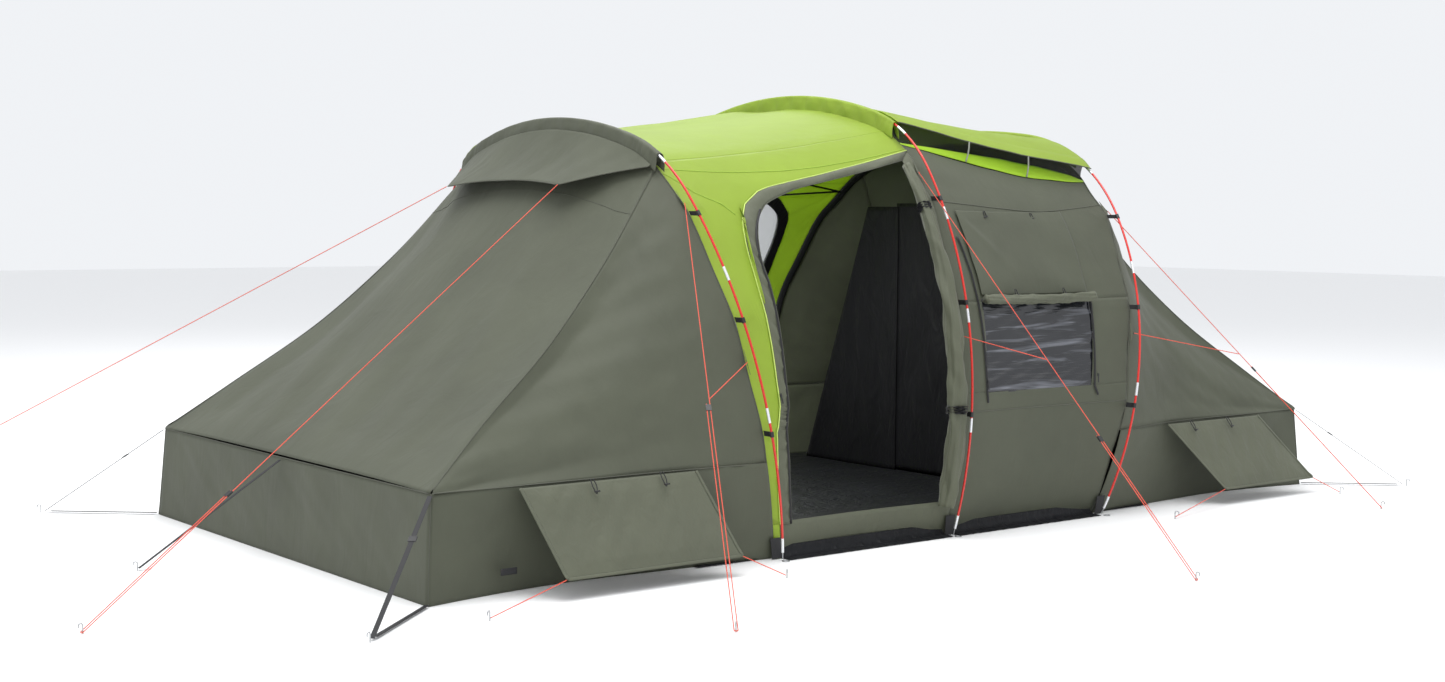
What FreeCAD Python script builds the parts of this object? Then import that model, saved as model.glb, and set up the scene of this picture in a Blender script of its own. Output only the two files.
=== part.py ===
"""Three-hoop tunnel tent with two sleeping wings, as a FreeCAD parametric document.

Millimetres. +Z is up, +X runs along the tent, the front door faces -Y.
The origin is on the ground at the centre of the tent's footprint.
"""
import FreeCAD, Part
import math
import os
from FreeCAD import Placement, Rotation, Vector

doc = FreeCAD.newDocument("hoop_tent")
sheet = doc.addObject("Spreadsheet::Sheet", "sizes")

HOOPS = ("left", "middle", "right")
SIDES = (("front", -1), ("rear", 1))
WINGS = (("left", -1), ("right", 1))
UP = Vector(0, 0, 1)

# Driving sizes. Hoop shape: a crown arc, two shoulder arcs and two leg arcs, tangent to each other.
CELLS = {
    "fabric": 2.0, "seam_gap": 0.8, "cabin_gap": 4, "seam_inset": 58,
    "hood_lift": 14, "hood_top_half_width": 15, "hood_foot_half_width": 26, "hood_foot_drop": 62,
    "hood_gap": 2.2, "hood_side_y": 820, "hood_shoulder_y": 700, "hood_crown_y": 540,
    "left_hoop_x": -1078, "left_lean": -0.152, "left_height": 1973.3, "left_crown_radius": 2251.2,
    "left_crown_angle": 17.02, "left_shoulder_radius": 727.2, "left_shoulder_angle": 36.88,
    "left_leg_radius": 2117.1,
    "middle_hoop_x": -28, "middle_lean": 0.063, "middle_height": 2124, "middle_crown_radius": 2393.7,
    "middle_crown_angle": 17.22, "middle_shoulder_radius": 749, "middle_shoulder_angle": 36.69,
    "middle_leg_radius": 2033.2,
    "right_hoop_x": 1027, "right_lean": 0.206, "right_height": 2021.7, "right_crown_radius": 3801.9,
    "right_crown_angle": 7.25, "right_shoulder_radius": 1056.7, "right_shoulder_angle": 47.32,
    "right_leg_radius": 1666.7,
    "pole_radius": 5.5, "pole_bore_radius": 4.5, "pole_foot_height": 36, "shock_cord_radius": 1.5,
    "ferrule_radius": 6.4, "ferrule_length": 66, "crown_ferrule_offset": 300,
    "outer_ferrule_top": 1755, "outer_ferrule_mid": 1250, "outer_ferrule_low": 642,
    "middle_ferrule_top": 1925, "middle_ferrule_upper": 1520, "middle_ferrule_mid": 1040,
    "middle_ferrule_low": 530,
    "outer_clip_top": 1510, "outer_clip_mid": 1050, "outer_clip_low": 560,
    "middle_clip_top": 1590, "middle_clip_mid": 1100, "middle_clip_low": 580,
    "clip_length": 24, "clip_radius": 9, "clip_slot": 6, "tape_width": 24, "tape_thickness": 1.2,
    "foot_pin_radius": 3, "foot_ring_radius": 15, "foot_ring_wire": 2.2, "foot_ring_offset": 22,
    "foot_plate_width": 60, "foot_plate_height": 95,
    "sill_height": 150, "lower_seam": 560, "window_bottom": 670, "window_top": 1100,
    "upper_seam": 1540, "roof_strip_y": 400,
    "outer_canopy_height": 1740, "middle_canopy_height": 1925, "canopy_reach": 75, "vent_depth": 70,
    "door_jamb_left": 0.12, "door_jamb_right": 0.93, "window_left": 0.16, "window_right": 0.78,
    "wing_length": 2800, "wing_top_x": 2770, "wing_foot_y": 1353, "wing_corner_y": 1326,
    "band_height": 430,
    "wing_near_x": 1740, "wing_near_foot_y": 1290, "wing_near_band_y": 1345, "wing_near_side_y": 1240,
    "wing_near_side_z": 850, "wing_near_hip_y": 950, "wing_near_hip_z": 1256, "wing_near_roof_y": 480,
    "wing_near_roof_z": 1420, "wing_near_ridge_z": 1458,
    "wing_mid_x": 2040, "wing_mid_foot_y": 1268, "wing_mid_band_y": 1342, "wing_mid_side_y": 1250,
    "wing_mid_side_z": 700, "wing_mid_hip_y": 1050, "wing_mid_hip_z": 974, "wing_mid_roof_y": 530,
    "wing_mid_roof_z": 1105, "wing_mid_ridge_z": 1140,
    "wing_far_x": 2480, "wing_far_foot_y": 1300, "wing_far_band_y": 1336, "wing_far_side_y": 1290,
    "wing_far_side_z": 540, "wing_far_hip_y": 1200, "wing_far_hip_z": 651, "wing_far_roof_y": 600,
    "wing_far_roof_z": 690, "wing_far_ridge_z": 702,
    "awning_tip_x": 1653, "awning_tip_y": 493, "awning_tip_z": 1634, "awning_middle_x": 1635,
    "awning_middle_z": 1660,
    "cabin_wall_x": 1290, "cabin_end_x": 2660, "cabin_half_width": 1180, "cabin_top_half_width": 640,
    "cabin_wall_height": 1560, "cabin_end_height": 330, "cabin_tub_height": 120,
    "cabin_door_half_width": 380, "cabin_floor_z": 3,
    "groundsheet_half_width": 1290, "groundsheet_half_length": 1240, "groundsheet_z": 0,
    "cord_radius": 2.0, "tab_reach": 14, "peg_radius": 2.5, "peg_height": 30, "peg_hook_radius": 9,
    "peg_loop_radius": 7.2,
    "cord_height": 10, "runner_length": 30, "runner_width": 22, "runner_thickness": 8,
    "runner_play": 0.5, "strand_past_runner": 5,
    "flap_inner_x": 1530, "flap_outer_x": 2400, "flap_hinge_y": 1374, "flap_hinge_z": 426,
    "flap_edge_y": 1575, "flap_edge_z": 84, "flap_edge_shift": 90,
    "right_flap_inner_x": 1570, "right_flap_outer_x": 2340, "right_flap_hinge_y": 1392,
    "right_flap_edge_shift": 255,
    "door_roll_radius": 44, "window_roll_radius": 24, "toggle_radius": 5, "toggle_length": 55,
    "strap_width": 20, "strap_thickness": 1.5, "corner_peg_x": 3250, "corner_peg_y": 1750,
    "end_peg_x": 3420, "buckle_width": 32, "buckle_length": 26, "buckle_thickness": 5,
    "buckle_play": 0.6, "buckle_place": 0.32,
    "skirt_width": 90, "zip_width": 14, "zip_pull_length": 32,
}
for row, (alias, number) in enumerate(CELLS.items(), start=1):
    sheet.set("A%d" % row, alias)
    sheet.set("B%d" % row, str(number))
    sheet.setAlias("B%d" % row, alias)
doc.recompute()


def size(alias):
    """Value of a named cell."""
    return float(getattr(sheet, alias))


sub_parts = []


def add_piece(label, solids):
    """A sub-part made of one or more plain solids."""
    piece = doc.addObject("Part::Feature", label)
    piece.Label = label
    piece.Shape = solids[0] if len(solids) == 1 else Part.makeCompound(solids)
    piece.Placement = Placement()
    sub_parts.append(piece)
    return piece


# ---------------------------------------------------------------- hoop geometry

class Hoop:
    """Centreline of one pole: five tangent arcs in a plane that leans along X."""

    def __init__(self, name):
        self.x = size(name + "_hoop_x")
        self.tilt = math.atan(size(name + "_lean"))
        self.height = size(name + "_height")
        self.crown_r = size(name + "_crown_radius")
        self.shoulder_r = size(name + "_shoulder_radius")
        self.leg_r = size(name + "_leg_radius")
        self.crown_end = math.radians(size(name + "_crown_angle"))
        self.shoulder_end = self.crown_end + math.radians(size(name + "_shoulder_angle"))
        self.crown_up = self.height - self.crown_r
        reach = self.crown_r - self.shoulder_r
        self.shoulder_c = (reach * math.sin(self.crown_end), self.crown_up + reach * math.cos(self.crown_end))
        reach = self.shoulder_r - self.leg_r
        self.leg_c = (self.shoulder_c[0] + reach * math.sin(self.shoulder_end),
                      self.shoulder_c[1] + reach * math.cos(self.shoulder_end))
        foot_up = size("pole_foot_height")
        self.foot_angle = math.acos((foot_up - self.leg_c[1]) / self.leg_r)
        self.crown_len = self.crown_r * self.crown_end
        self.shoulder_len = self.shoulder_r * (self.shoulder_end - self.crown_end)
        self.leg_len = self.leg_r * (self.foot_angle - self.shoulder_end)

    def world(self, y, up):
        """Point of the hoop plane in the tent's frame."""
        return Vector(self.x + up * math.sin(self.tilt), y, up * math.cos(self.tilt))

    def seam(self, side, z, inset):
        """Point of the profile moved inwards by inset, at height z."""
        up = z / math.cos(self.tilt)
        if up >= self.crown_up + (self.crown_r - inset) * math.cos(self.crown_end):
            centre, radius = (0, self.crown_up), self.crown_r - inset
        elif up >= self.shoulder_c[1] + (self.shoulder_r - inset) * math.cos(self.shoulder_end):
            centre, radius = self.shoulder_c, self.shoulder_r - inset
        else:
            centre, radius = self.leg_c, self.leg_r - inset
        y = centre[0] + math.sqrt(max(0, radius ** 2 - (up - centre[1]) ** 2))
        return self.world(side * y, up)

    def crown_point(self, y, inset):
        """Point of the crown arc moved inwards by inset, at half width y."""
        radius = self.crown_r - inset
        edge = radius * math.sin(self.crown_end)
        centre = (0, self.crown_up)
        if abs(y) > edge:
            centre, radius = self.shoulder_c, self.shoulder_r - inset
        up = centre[1] + math.sqrt(radius ** 2 - (abs(y) - centre[0]) ** 2)
        return self.world(y, up)

    def along(self, length):
        """Centreline point at a signed length from the crown."""
        run = abs(length)
        if run <= self.crown_len:
            angle, centre, radius = run / self.crown_r, (0, self.crown_up), self.crown_r
        elif run <= self.crown_len + self.shoulder_len:
            angle = self.crown_end + (run - self.crown_len) / self.shoulder_r
            centre, radius = self.shoulder_c, self.shoulder_r
        else:
            angle = self.shoulder_end + (run - self.crown_len - self.shoulder_len) / self.leg_r
            centre, radius = self.leg_c, self.leg_r
        y = centre[0] + radius * math.sin(angle)
        return self.world(math.copysign(y, length), centre[1] + radius * math.cos(angle))

    def tangent(self, length):
        """Unit direction of the centreline, towards growing length."""
        return (self.along(length + 0.5) - self.along(length - 0.5)).normalize()

    def length_at(self, z):
        """Length from the crown to the centreline at height z."""
        low, high = 0.0, self.crown_len + self.shoulder_len + self.leg_len
        for _ in range(40):
            middle = (low + high) / 2
            low, high = (middle, high) if self.along(middle).z > z else (low, middle)
        return low

    def path(self, start, end):
        """Wire of arcs between two signed lengths."""
        joints = [self.crown_len, self.crown_len + self.shoulder_len]
        joints = [-joints[1], -joints[0]] + joints
        stops = [start] + [stop for stop in joints if start + 1 < stop < end - 1] + [end]
        edges = []
        for first, last in zip(stops, stops[1:]):
            middle = self.along((first + last) / 2)
            edges.append(Part.Arc(self.along(first), middle, self.along(last)).toShape())
        return Part.Wire(edges)


hoops = {name: Hoop(name) for name in HOOPS}


# ---------------------------------------------------------------- building blocks

def pipe(path, radius, bore=0):
    """Round bar or tube swept along a wire."""
    start = path.Edges[0].valueAt(path.Edges[0].FirstParameter)
    heading = path.Edges[0].tangentAt(path.Edges[0].FirstParameter)
    outer = path.makePipe(Part.Face(Part.Wire(Part.Circle(start, heading, radius).toShape())))
    if not bore:
        return outer
    return outer.cut(path.makePipe(Part.Face(Part.Wire(Part.Circle(start, heading, bore).toShape()))))


def rod(start, end, radius):
    """Straight round bar between two points."""
    return Part.makeCylinder(radius, (end - start).Length, start, end - start)


def slab(corners, thickness, inside, gap=None):
    """Sheet of fabric with four corners in order round its edge, thickened towards the inside point."""
    gap = size("seam_gap") if gap is None else gap
    centre = (corners[0] + corners[1] + corners[2] + corners[3]) / 4
    shrunk = []
    for index, corner in enumerate(corners):
        before = (corners[index - 1] - corner).normalize()
        after = (corners[(index + 1) % 4] - corner).normalize()
        shrunk.append(corner + (before + after) * gap)
    corners = shrunk
    normal = (corners[2] - corners[0]).cross(corners[3] - corners[1]).normalize()
    if normal.dot(inside - centre) < 0:
        normal = -normal
    backs = [corner + normal * thickness for corner in corners]
    faces = []
    for loop in (corners, backs):
        lower = Part.makeLine(loop[0], loop[1])
        upper = Part.makeLine(loop[3], loop[2])
        faces.append(Part.makeRuledSurface(lower, upper))
    for index in range(4):
        follow = (index + 1) % 4
        edge = [corners[index], corners[follow], backs[follow], backs[index], corners[index]]
        faces.append(Part.Face(Part.makePolygon(edge)))
    shell = Part.makeShell(faces)
    shell.sewShape()
    solid = Part.makeSolid(shell)
    if solid.Volume < 0:
        solid.reverse()
    return solid


def sheet_rows(rows, thickness, inside, gap=None):
    """Slabs between neighbouring rows of points."""
    slabs = []
    for low, high in zip(rows, rows[1:]):
        for index in range(len(low) - 1):
            corners = [low[index], low[index + 1], high[index + 1], high[index]]
            slabs.append(slab(corners, thickness, inside, gap))
    return slabs


def blend(start, end, share):
    """Point part of the way from start to end."""
    return start + (end - start) * share


def strap(start, end, across, width, thickness):
    """Flat webbing between two points, its width along the direction across."""
    half = across * (width / 2)
    corners = [start - half, start + half, end + half, end - half]
    normal = (end - start).cross(across)
    return slab(corners, thickness, start + normal, 0.05)


# ---------------------------------------------------------------- outer tent

FABRIC = size("fabric")
INSET = size("seam_inset")
CENTRE = Vector(0, 0, 700)


def bay_edge(hoop_name, side, level):
    """Seam point of one hoop at a named level."""
    hoop = hoops[hoop_name]
    canopy = size("middle_canopy_height" if hoop_name == "middle" else "outer_canopy_height")
    heights = {"ground": 1, "sill": size("sill_height"), "lower": size("lower_seam"),
               "window_bottom": size("window_bottom"), "window_top": size("window_top"),
               "upper": size("upper_seam"), "vent": canopy - size("vent_depth"), "canopy": canopy}
    if level in heights:
        return hoop.seam(side, heights[level], INSET)
    return hoop.crown_point(side * (size("roof_strip_y") if level == "strip" else 0), INSET)


def bay_row(bay, side, level, shares):
    """Points along one level between the two hoops of a bay."""
    start = bay_edge(bay[0], side, level)
    end = bay_edge(bay[1], side, level)
    return [blend(start, end, share) for share in shares]


def bay_panel(bay, side, levels, shares):
    """Fabric slabs of one bay between levels, at shares of the way between the hoops."""
    return sheet_rows([bay_row(bay, side, level, shares) for level in levels], FABRIC, CENTRE)


LEFT_BAY = ("left", "middle")
RIGHT_BAY = ("middle", "right")
SEAM_SHARES = (0.01, 0.5, 0.99)


def wall_with_door(bay, side, near, far):
    """Door surround: sill, two jambs and the panel over the door."""
    solids = bay_panel(bay, side, ("ground", "sill"), SEAM_SHARES)
    solids += bay_panel(bay, side, ("sill", "lower", "window_top", "upper"), (0.01, near))
    solids += bay_panel(bay, side, ("sill", "lower", "window_top", "upper"), (far, 0.99))
    return solids


def wall_with_window(bay, side, near, far):
    """Window wall: full panels below and above, narrow ones beside the window."""
    solids = bay_panel(bay, side, ("ground", "sill", "window_bottom"), SEAM_SHARES)
    solids += bay_panel(bay, side, ("window_bottom", "window_top"), (0.01, near))
    solids += bay_panel(bay, side, ("window_bottom", "window_top"), (far, 0.99))
    solids += bay_panel(bay, side, ("window_top", "upper", "vent"), SEAM_SHARES)
    return solids


def canopy(bay, side):
    """Roof hem that stands out over the vent, with the vent's lower lip behind it."""
    reach = Vector(0, side * size("canopy_reach"), -size("canopy_reach") * 0.35)
    top = bay_row(bay, side, "canopy", (0.03, 0.5, 0.97))
    hem = [top[0] + reach * 0.4, top[1] + reach, top[2] + reach * 0.4]
    return sheet_rows([hem, top], FABRIC, CENTRE)


near_jamb = size("door_jamb_left")
far_jamb = size("door_jamb_right")
window_left = size("window_left")
window_right = size("window_right")

add_piece("front_door_surround", wall_with_door(LEFT_BAY, -1, near_jamb, far_jamb))
add_piece("rear_door_surround", wall_with_door(RIGHT_BAY, 1, 1 - far_jamb, 1 - near_jamb))
add_piece("front_window_wall", wall_with_window(RIGHT_BAY, -1, window_left, window_right))
add_piece("rear_window_wall", wall_with_window(LEFT_BAY, 1, 1 - window_right, 1 - window_left))

roof = []
for bay in (LEFT_BAY, RIGHT_BAY):
    for name, side in SIDES:
        has_door = (bay == LEFT_BAY) == (side < 0)
        levels = ("upper", "canopy", "strip", "crown") if has_door else ("canopy", "strip", "crown")
        roof += bay_panel(bay, side, levels, SEAM_SHARES)
add_piece("roof", roof)
add_piece("vent_canopies", canopy(RIGHT_BAY, -1) + canopy(LEFT_BAY, 1))
vent_levels = ("vent", "canopy")
add_piece("vent_meshes", bay_panel(RIGHT_BAY, -1, vent_levels, SEAM_SHARES)
          + bay_panel(LEFT_BAY, 1, vent_levels, SEAM_SHARES))


def window_pane(bay, side, near, far):
    """Clear pane between the window's edges."""
    return bay_panel(bay, side, ("window_bottom", "window_top"), (near, far))


add_piece("window_panes", window_pane(RIGHT_BAY, -1, window_left, window_right)
          + window_pane(LEFT_BAY, 1, 1 - window_right, 1 - window_left))
add_piece("rear_door_mesh", bay_panel(RIGHT_BAY, 1, ("sill", "lower", "window_top", "upper"),
                                      (1 - far_jamb, 1 - near_jamb)))


# Wings: cross sections from the outer hoop to the end wall, each with the same rows.
WING_ROWS = ("foot", "band", "side", "hip", "roof", "ridge")


def wing_section(wing, side, station):
    """Six points from the ground to the ridge on one side of a wing."""
    if station == "hoop":
        hoop = hoops["left" if wing < 0 else "right"]
        shift = Vector(wing * 4, 0, 0)
        points = [hoop.seam(side, height, INSET) for height in (1, size("band_height"), size("window_top"))]
        points += [hoop.crown_point(side * size(name), INSET) for name in ("hood_side_y", "roof_strip_y")]
        points.append(hoop.crown_point(0, INSET))
        return [point + shift for point in points]
    if station == "end":
        top = size("band_height")
        corner = Vector(wing * size("wing_top_x"), side * size("wing_corner_y"), top)
        foot = Vector(wing * size("wing_length"), side * size("wing_foot_y"), 1)
        rises = [Vector(0, 0, rise) for rise in (6, 12)]
        strip = Vector(wing * size("wing_top_x"), side * size("wing_far_roof_y"), top + 12)
        ridge = Vector(wing * size("wing_top_x"), 0, top + 12)
        return [foot, corner, corner + rises[0], corner + rises[1], strip, ridge]
    lead = "wing_%s_" % station
    x = wing * size(lead + "x")
    return [Vector(x, side * size(lead + "foot_y"), 1),
            Vector(x, side * size(lead + "band_y"), size("band_height")),
            Vector(x, side * size(lead + "side_y"), size(lead + "side_z")),
            Vector(x, side * size(lead + "hip_y"), size(lead + "hip_z")),
            Vector(x, side * size(lead + "roof_y"), size(lead + "roof_z")),
            Vector(x, 0, size(lead + "ridge_z"))]


STATIONS = ("hoop", "near", "mid", "far", "end")


def wing_rows(wing, side, names):
    """Rows of a wing along its length, for the named rows."""
    sections = [wing_section(wing, side, station) for station in STATIONS]
    return [[section[WING_ROWS.index(name)] for section in sections] for name in names]


def end_wall(wing):
    """Low wall at the wing's end, in four strips."""
    shares = (-1, -0.5, 0, 0.5, 1)
    low = [Vector(wing * size("wing_length"), share * (size("wing_foot_y") - 3), 1) for share in shares]
    top = size("band_height")
    high = [Vector(wing * size("wing_top_x"), share * (size("wing_corner_y") - 3), top) for share in shares]
    return sheet_rows([low, high], FABRIC, Vector(0, 0, 200))


for name, wing in WINGS:
    inside = Vector(wing * 1600, 0, 300)
    upper = []
    lower = end_wall(wing)
    for _, side in SIDES:
        upper += sheet_rows(wing_rows(wing, side, ("band", "side", "hip", "roof", "ridge")), FABRIC, inside)
        lower += sheet_rows(wing_rows(wing, side, ("foot", "band")), FABRIC, inside)
    add_piece(name + "_wing_top", upper)
    add_piece(name + "_wing_skirt", lower)


# ---------------------------------------------------------------- hoods over the poles

def hood(name):
    """Fabric sleeve over the crown of a pole: a narrow top with a wall down to the roof on each side."""
    hoop = hoops[name]
    half = [size("hood_side_y"), size("hood_shoulder_y"), size("hood_crown_y"), size("hood_crown_y") / 2]
    places = [-y for y in half] + [0] + half[::-1]
    spine = [hoop.crown_point(y, -size("hood_lift")) for y in places]
    top = size("hood_top_half_width")
    foot = size("hood_foot_half_width")
    drop = -size("hood_foot_drop")
    profile = (Vector(-foot, 0, drop), Vector(-top, 0, 0), Vector(top, 0, 0), Vector(foot, 0, drop))
    rows = [[point + offset for point in spine] for offset in profile]
    return sheet_rows(rows, FABRIC, CENTRE, size("hood_gap"))


for name in HOOPS:
    add_piece(name + "_pole_hood", hood(name))


def awning():
    """Two-peaked awning that stands out from the foot of the left hood."""
    hoop = hoops["left"]
    out = Vector(-size("hood_foot_half_width") - 8, 0, -size("hood_foot_drop") + 4)
    limit = size("hood_side_y")
    tip_y = size("awning_tip_y")
    inner = [hoop.crown_point(y, -size("hood_lift")) + out for y in (-limit, -tip_y, 0, tip_y, limit)]
    tips = [Vector(-size("awning_tip_x"), y, size("awning_tip_z")) for y in (-tip_y, tip_y)]
    middle = Vector(-size("awning_middle_x"), 0, size("awning_middle_z"))
    ends = [inner[0] + Vector(-14, 0, -8), inner[4] + Vector(-14, 0, -8)]
    outer = [ends[0], tips[0], middle, tips[1], ends[1]]
    return sheet_rows([outer, inner], FABRIC, CENTRE)


add_piece("left_awning", awning())


# ---------------------------------------------------------------- poles, ferrules, clips, feet

def ferrule_stops(name):
    """Lengths from the crown to the ferrules down one leg."""
    if name == "middle":
        heights = ["middle_ferrule_" + place for place in ("top", "upper", "mid", "low")]
    else:
        heights = ["outer_ferrule_" + place for place in ("top", "mid", "low")]
    return [size("crown_ferrule_offset")] + [hoops[name].length_at(size(height)) for height in heights]


shock_cords = []
ferrules = []
for name in HOOPS:
    hoop = hoops[name]
    stops = ferrule_stops(name)
    end = hoop.crown_len + hoop.shoulder_len + hoop.leg_len
    marks = [-stop for stop in reversed(stops)] + stops
    breaks = [-end] + marks + [end]
    tubes = []
    for start, finish in zip(breaks, breaks[1:]):
        length = hoop.path(start + 0.5, finish - 0.5)
        tubes.append(pipe(length, size("pole_radius"), size("pole_bore_radius")))
    add_piece(name + "_pole", tubes)
    half = size("ferrule_length") / 2
    spans = [(mark - half, mark + half) for mark in marks]
    spans += [(-end + 1, -end + size("ferrule_length")), (end - size("ferrule_length"), end - 1)]
    for start, finish in spans:
        ferrules.append(pipe(hoop.path(start, finish), size("ferrule_radius"), size("pole_radius") + 0.02))
    shock_cords.append(pipe(hoop.path(-end + 70, end - 70), size("shock_cord_radius")))
add_piece("pole_ferrules", ferrules)
add_piece("pole_shock_cords", shock_cords)

clip_body = doc.addObject("Part::Cylinder", "clip_body")
clip_body.setExpression("Radius", "sizes.clip_radius")
clip_body.setExpression("Height", "sizes.clip_length")
clip_bore = doc.addObject("Part::Cylinder", "clip_bore")
clip_bore.setExpression("Radius", "sizes.pole_radius + 0.3")
clip_bore.setExpression("Height", "sizes.clip_length")
clip_mouth = doc.addObject("Part::Box", "clip_mouth")
clip_mouth.setExpression("Length", "sizes.clip_radius + 2")
clip_mouth.setExpression("Width", "sizes.clip_slot")
clip_mouth.setExpression("Height", "sizes.clip_length")
clip_mouth.setExpression("Placement.Base.y", "-sizes.clip_slot / 2")
clip_waste = doc.addObject("Part::Fuse", "clip_waste")
clip_waste.Base = clip_bore
clip_waste.Tool = clip_mouth
clip_hook = doc.addObject("Part::Cut", "clip_hook")
clip_hook.Base = clip_body
clip_hook.Tool = clip_waste
doc.recompute()

hooks = []
tapes = []
for name in HOOPS:
    hoop = hoops[name]
    lead = "middle_clip_" if name == "middle" else "outer_clip_"
    for place in ("top", "mid", "low"):
        for _, side in SIDES:
            length = side * hoop.length_at(size(lead + place))
            spot = hoop.along(length)
            heading = hoop.tangent(length)
            sideways = Vector(1, 0, 0)
            outward = heading.cross(sideways).normalize() * -side
            across = outward.cross(heading).normalize()
            turn = Rotation(outward, across, heading, "ZXY")
            hook = clip_hook.Shape.copy()
            start = spot - heading * (size("clip_length") / 2)
            hook.Placement = Placement(start, turn)
            hooks.append(hook)
            inward = hoop.seam(side, spot.z, INSET - 4) - spot
            reach = inward.normalize()
            tape_start = spot + reach * (size("clip_radius") + 1)
            tape_end = hoop.seam(side, spot.z, INSET - 4)
            tapes.append(strap(tape_start, tape_end, heading, size("tape_width"), size("tape_thickness")))
add_piece("pole_clips", hooks)
add_piece("clip_tapes", tapes)

foot_ring = doc.addObject("Part::Torus", "foot_ring")
foot_ring.setExpression("Radius1", "sizes.foot_ring_radius")
foot_ring.setExpression("Radius2", "sizes.foot_ring_wire")
foot_ring.setExpression("Placement.Base.z", "sizes.foot_ring_wire")
doc.recompute()

feet = []
plates = []
for name in HOOPS:
    hoop = hoops[name]
    end = hoop.crown_len + hoop.shoulder_len + hoop.leg_len
    for _, side in SIDES:
        foot = hoop.along(side * end)
        heading = hoop.tangent(side * end) * -side
        ring = foot_ring.Shape.copy()
        ring.translate(Vector(foot.x, foot.y + side * size("foot_ring_offset"), 0))
        base = foot - heading * (foot.z - 5)
        feet.append(ring)
        feet.append(rod(base, foot + heading * 45, size("foot_pin_radius")))
        low = foot + Vector(0, -side * 34, -foot.z + 3)
        high = hoop.seam(side, size("foot_plate_height"), INSET - 12)
        plates.append(strap(low, high, Vector(1, 0, 0), size("foot_plate_width"), size("fabric")))
add_piece("pole_foot_pins", feet)
add_piece("pole_foot_plates", plates)


# ---------------------------------------------------------------- floor and cabins

half_length = size("groundsheet_half_length")
half_width = size("groundsheet_half_width")
add_piece("groundsheet", [Part.makeBox(2 * half_length, 2 * half_width, FABRIC,
                                       Vector(-half_length, -half_width, size("groundsheet_z")))])


def cabin(wing):
    """Sleeping cabin: floor, tub walls, sides, sloping roof and a front wall with a doorway."""
    near = size("cabin_wall_x")
    far = size("cabin_end_x")
    wide = size("cabin_half_width")
    narrow = size("cabin_top_half_width")
    tall = size("cabin_wall_height")
    low = size("cabin_end_height")
    tub = size("cabin_tub_height")
    base = size("cabin_floor_z")
    door = size("cabin_door_half_width")
    inside = Vector(wing * 1900, 0, 250)

    def point(x, y, z):
        return Vector(wing * x, y, z)

    gap = size("cabin_gap")
    solids = [slab([point(near, -wide, base), point(far, -wide, base),
                    point(far, wide, base), point(near, wide, base)], FABRIC, inside, gap)]
    for _, side in SIDES:
        foot = [point(near, side * wide, base), point(far, side * wide, base)]
        rim = [point(near, side * wide, tub), point(far, side * wide, tub)]
        eave = [point(near, side * narrow, tall), point(far, side * (wide - 20), low)]
        solids += sheet_rows([foot, rim, eave], FABRIC, inside, gap)
        solids += sheet_rows([[point(near - 4, side * door, base), point(near - 4, side * wide, base)],
                              [point(near - 4, side * door, tub), point(near - 4, side * wide, tub)],
                              [point(near - 4, side * door, tall), point(near - 4, side * narrow, tall)]],
                             FABRIC, inside, gap)
        solids += sheet_rows([[point(near, side * narrow, tall), point(far, side * (wide - 20), low)],
                              [point(near, 0, tall + 30), point(far, 0, low)]], FABRIC, inside, gap)
        solids += sheet_rows([[point(far + 4, 0, base), point(far + 4, side * wide, base)],
                              [point(far + 4, 0, low), point(far + 4, side * (wide - 20), low)]],
                             FABRIC, inside, gap)
    return solids


for name, wing in WINGS:
    add_piece(name + "_sleeping_cabin", cabin(wing))


# ---------------------------------------------------------------- door and window trim

def roll(points, radius):
    """Rolled-up fabric along a gentle curve through three points."""
    return pipe(Part.Wire(Part.Arc(*points).toShape()), radius)


def bundle_point(bay, side, share, level, out):
    """Point of a bay panel moved outwards."""
    point = bay_row(bay, side, level, (share,))[0]
    return point + Vector(0, side * out, 0)


bundle = size("door_roll_radius")
for label, bay, side, share in (("front_door_roll", LEFT_BAY, -1, far_jamb),
                                ("rear_door_roll", RIGHT_BAY, 1, 1 - far_jamb)):
    spots = [bundle_point(bay, side, share, level, bundle + 6) for level in ("sill", "window_top", "upper")]
    add_piece(label, [roll(spots, bundle)])

window_bundle = size("window_roll_radius")
window_rolls = []
for bay, side, left, right in ((RIGHT_BAY, -1, window_left, window_right),
                               (LEFT_BAY, 1, 1 - window_right, 1 - window_left)):
    start = bundle_point(bay, side, left, "window_top", window_bundle + 6)
    end = bundle_point(bay, side, right, "window_top", window_bundle + 6)
    window_rolls.append(rod(start, end, window_bundle))
add_piece("window_cover_rolls", window_rolls)


def toggle(point, direction, length):
    """Small wooden-style peg button."""
    half = direction * (length / 2)
    return rod(point - half, point + half, size("toggle_radius"))


toggles = []
for share in (0.3, 0.75):
    for bay, side in ((RIGHT_BAY, -1), (LEFT_BAY, 1)):
        low = bundle_point(bay, side, share, "window_top", 2 * window_bundle + 12)
        high = bundle_point(bay, side, share, "upper", 34)
        toggles.append(toggle(low, UP, size("toggle_length")))
        toggles.append(toggle(high, UP, size("toggle_length")))
for level in ("lower", "window_top"):
    for bay, side, share in ((LEFT_BAY, -1, far_jamb), (RIGHT_BAY, 1, 1 - far_jamb)):
        spot = bundle_point(bay, side, share, level, 2 * bundle + 34)
        toggles.append(toggle(spot, UP, size("toggle_length")))
add_piece("toggles", toggles)


def zip_track(bay, side, share, levels, out):
    """Zip tape along a panel's edge."""
    width = size("zip_width")
    points = [bundle_point(bay, side, share, level, out) for level in levels]
    tracks = []
    for low, high in zip(points, points[1:]):
        tracks.append(strap(low, high, Vector(1, 0, 0), width, size("tape_thickness")))
    return tracks


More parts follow.
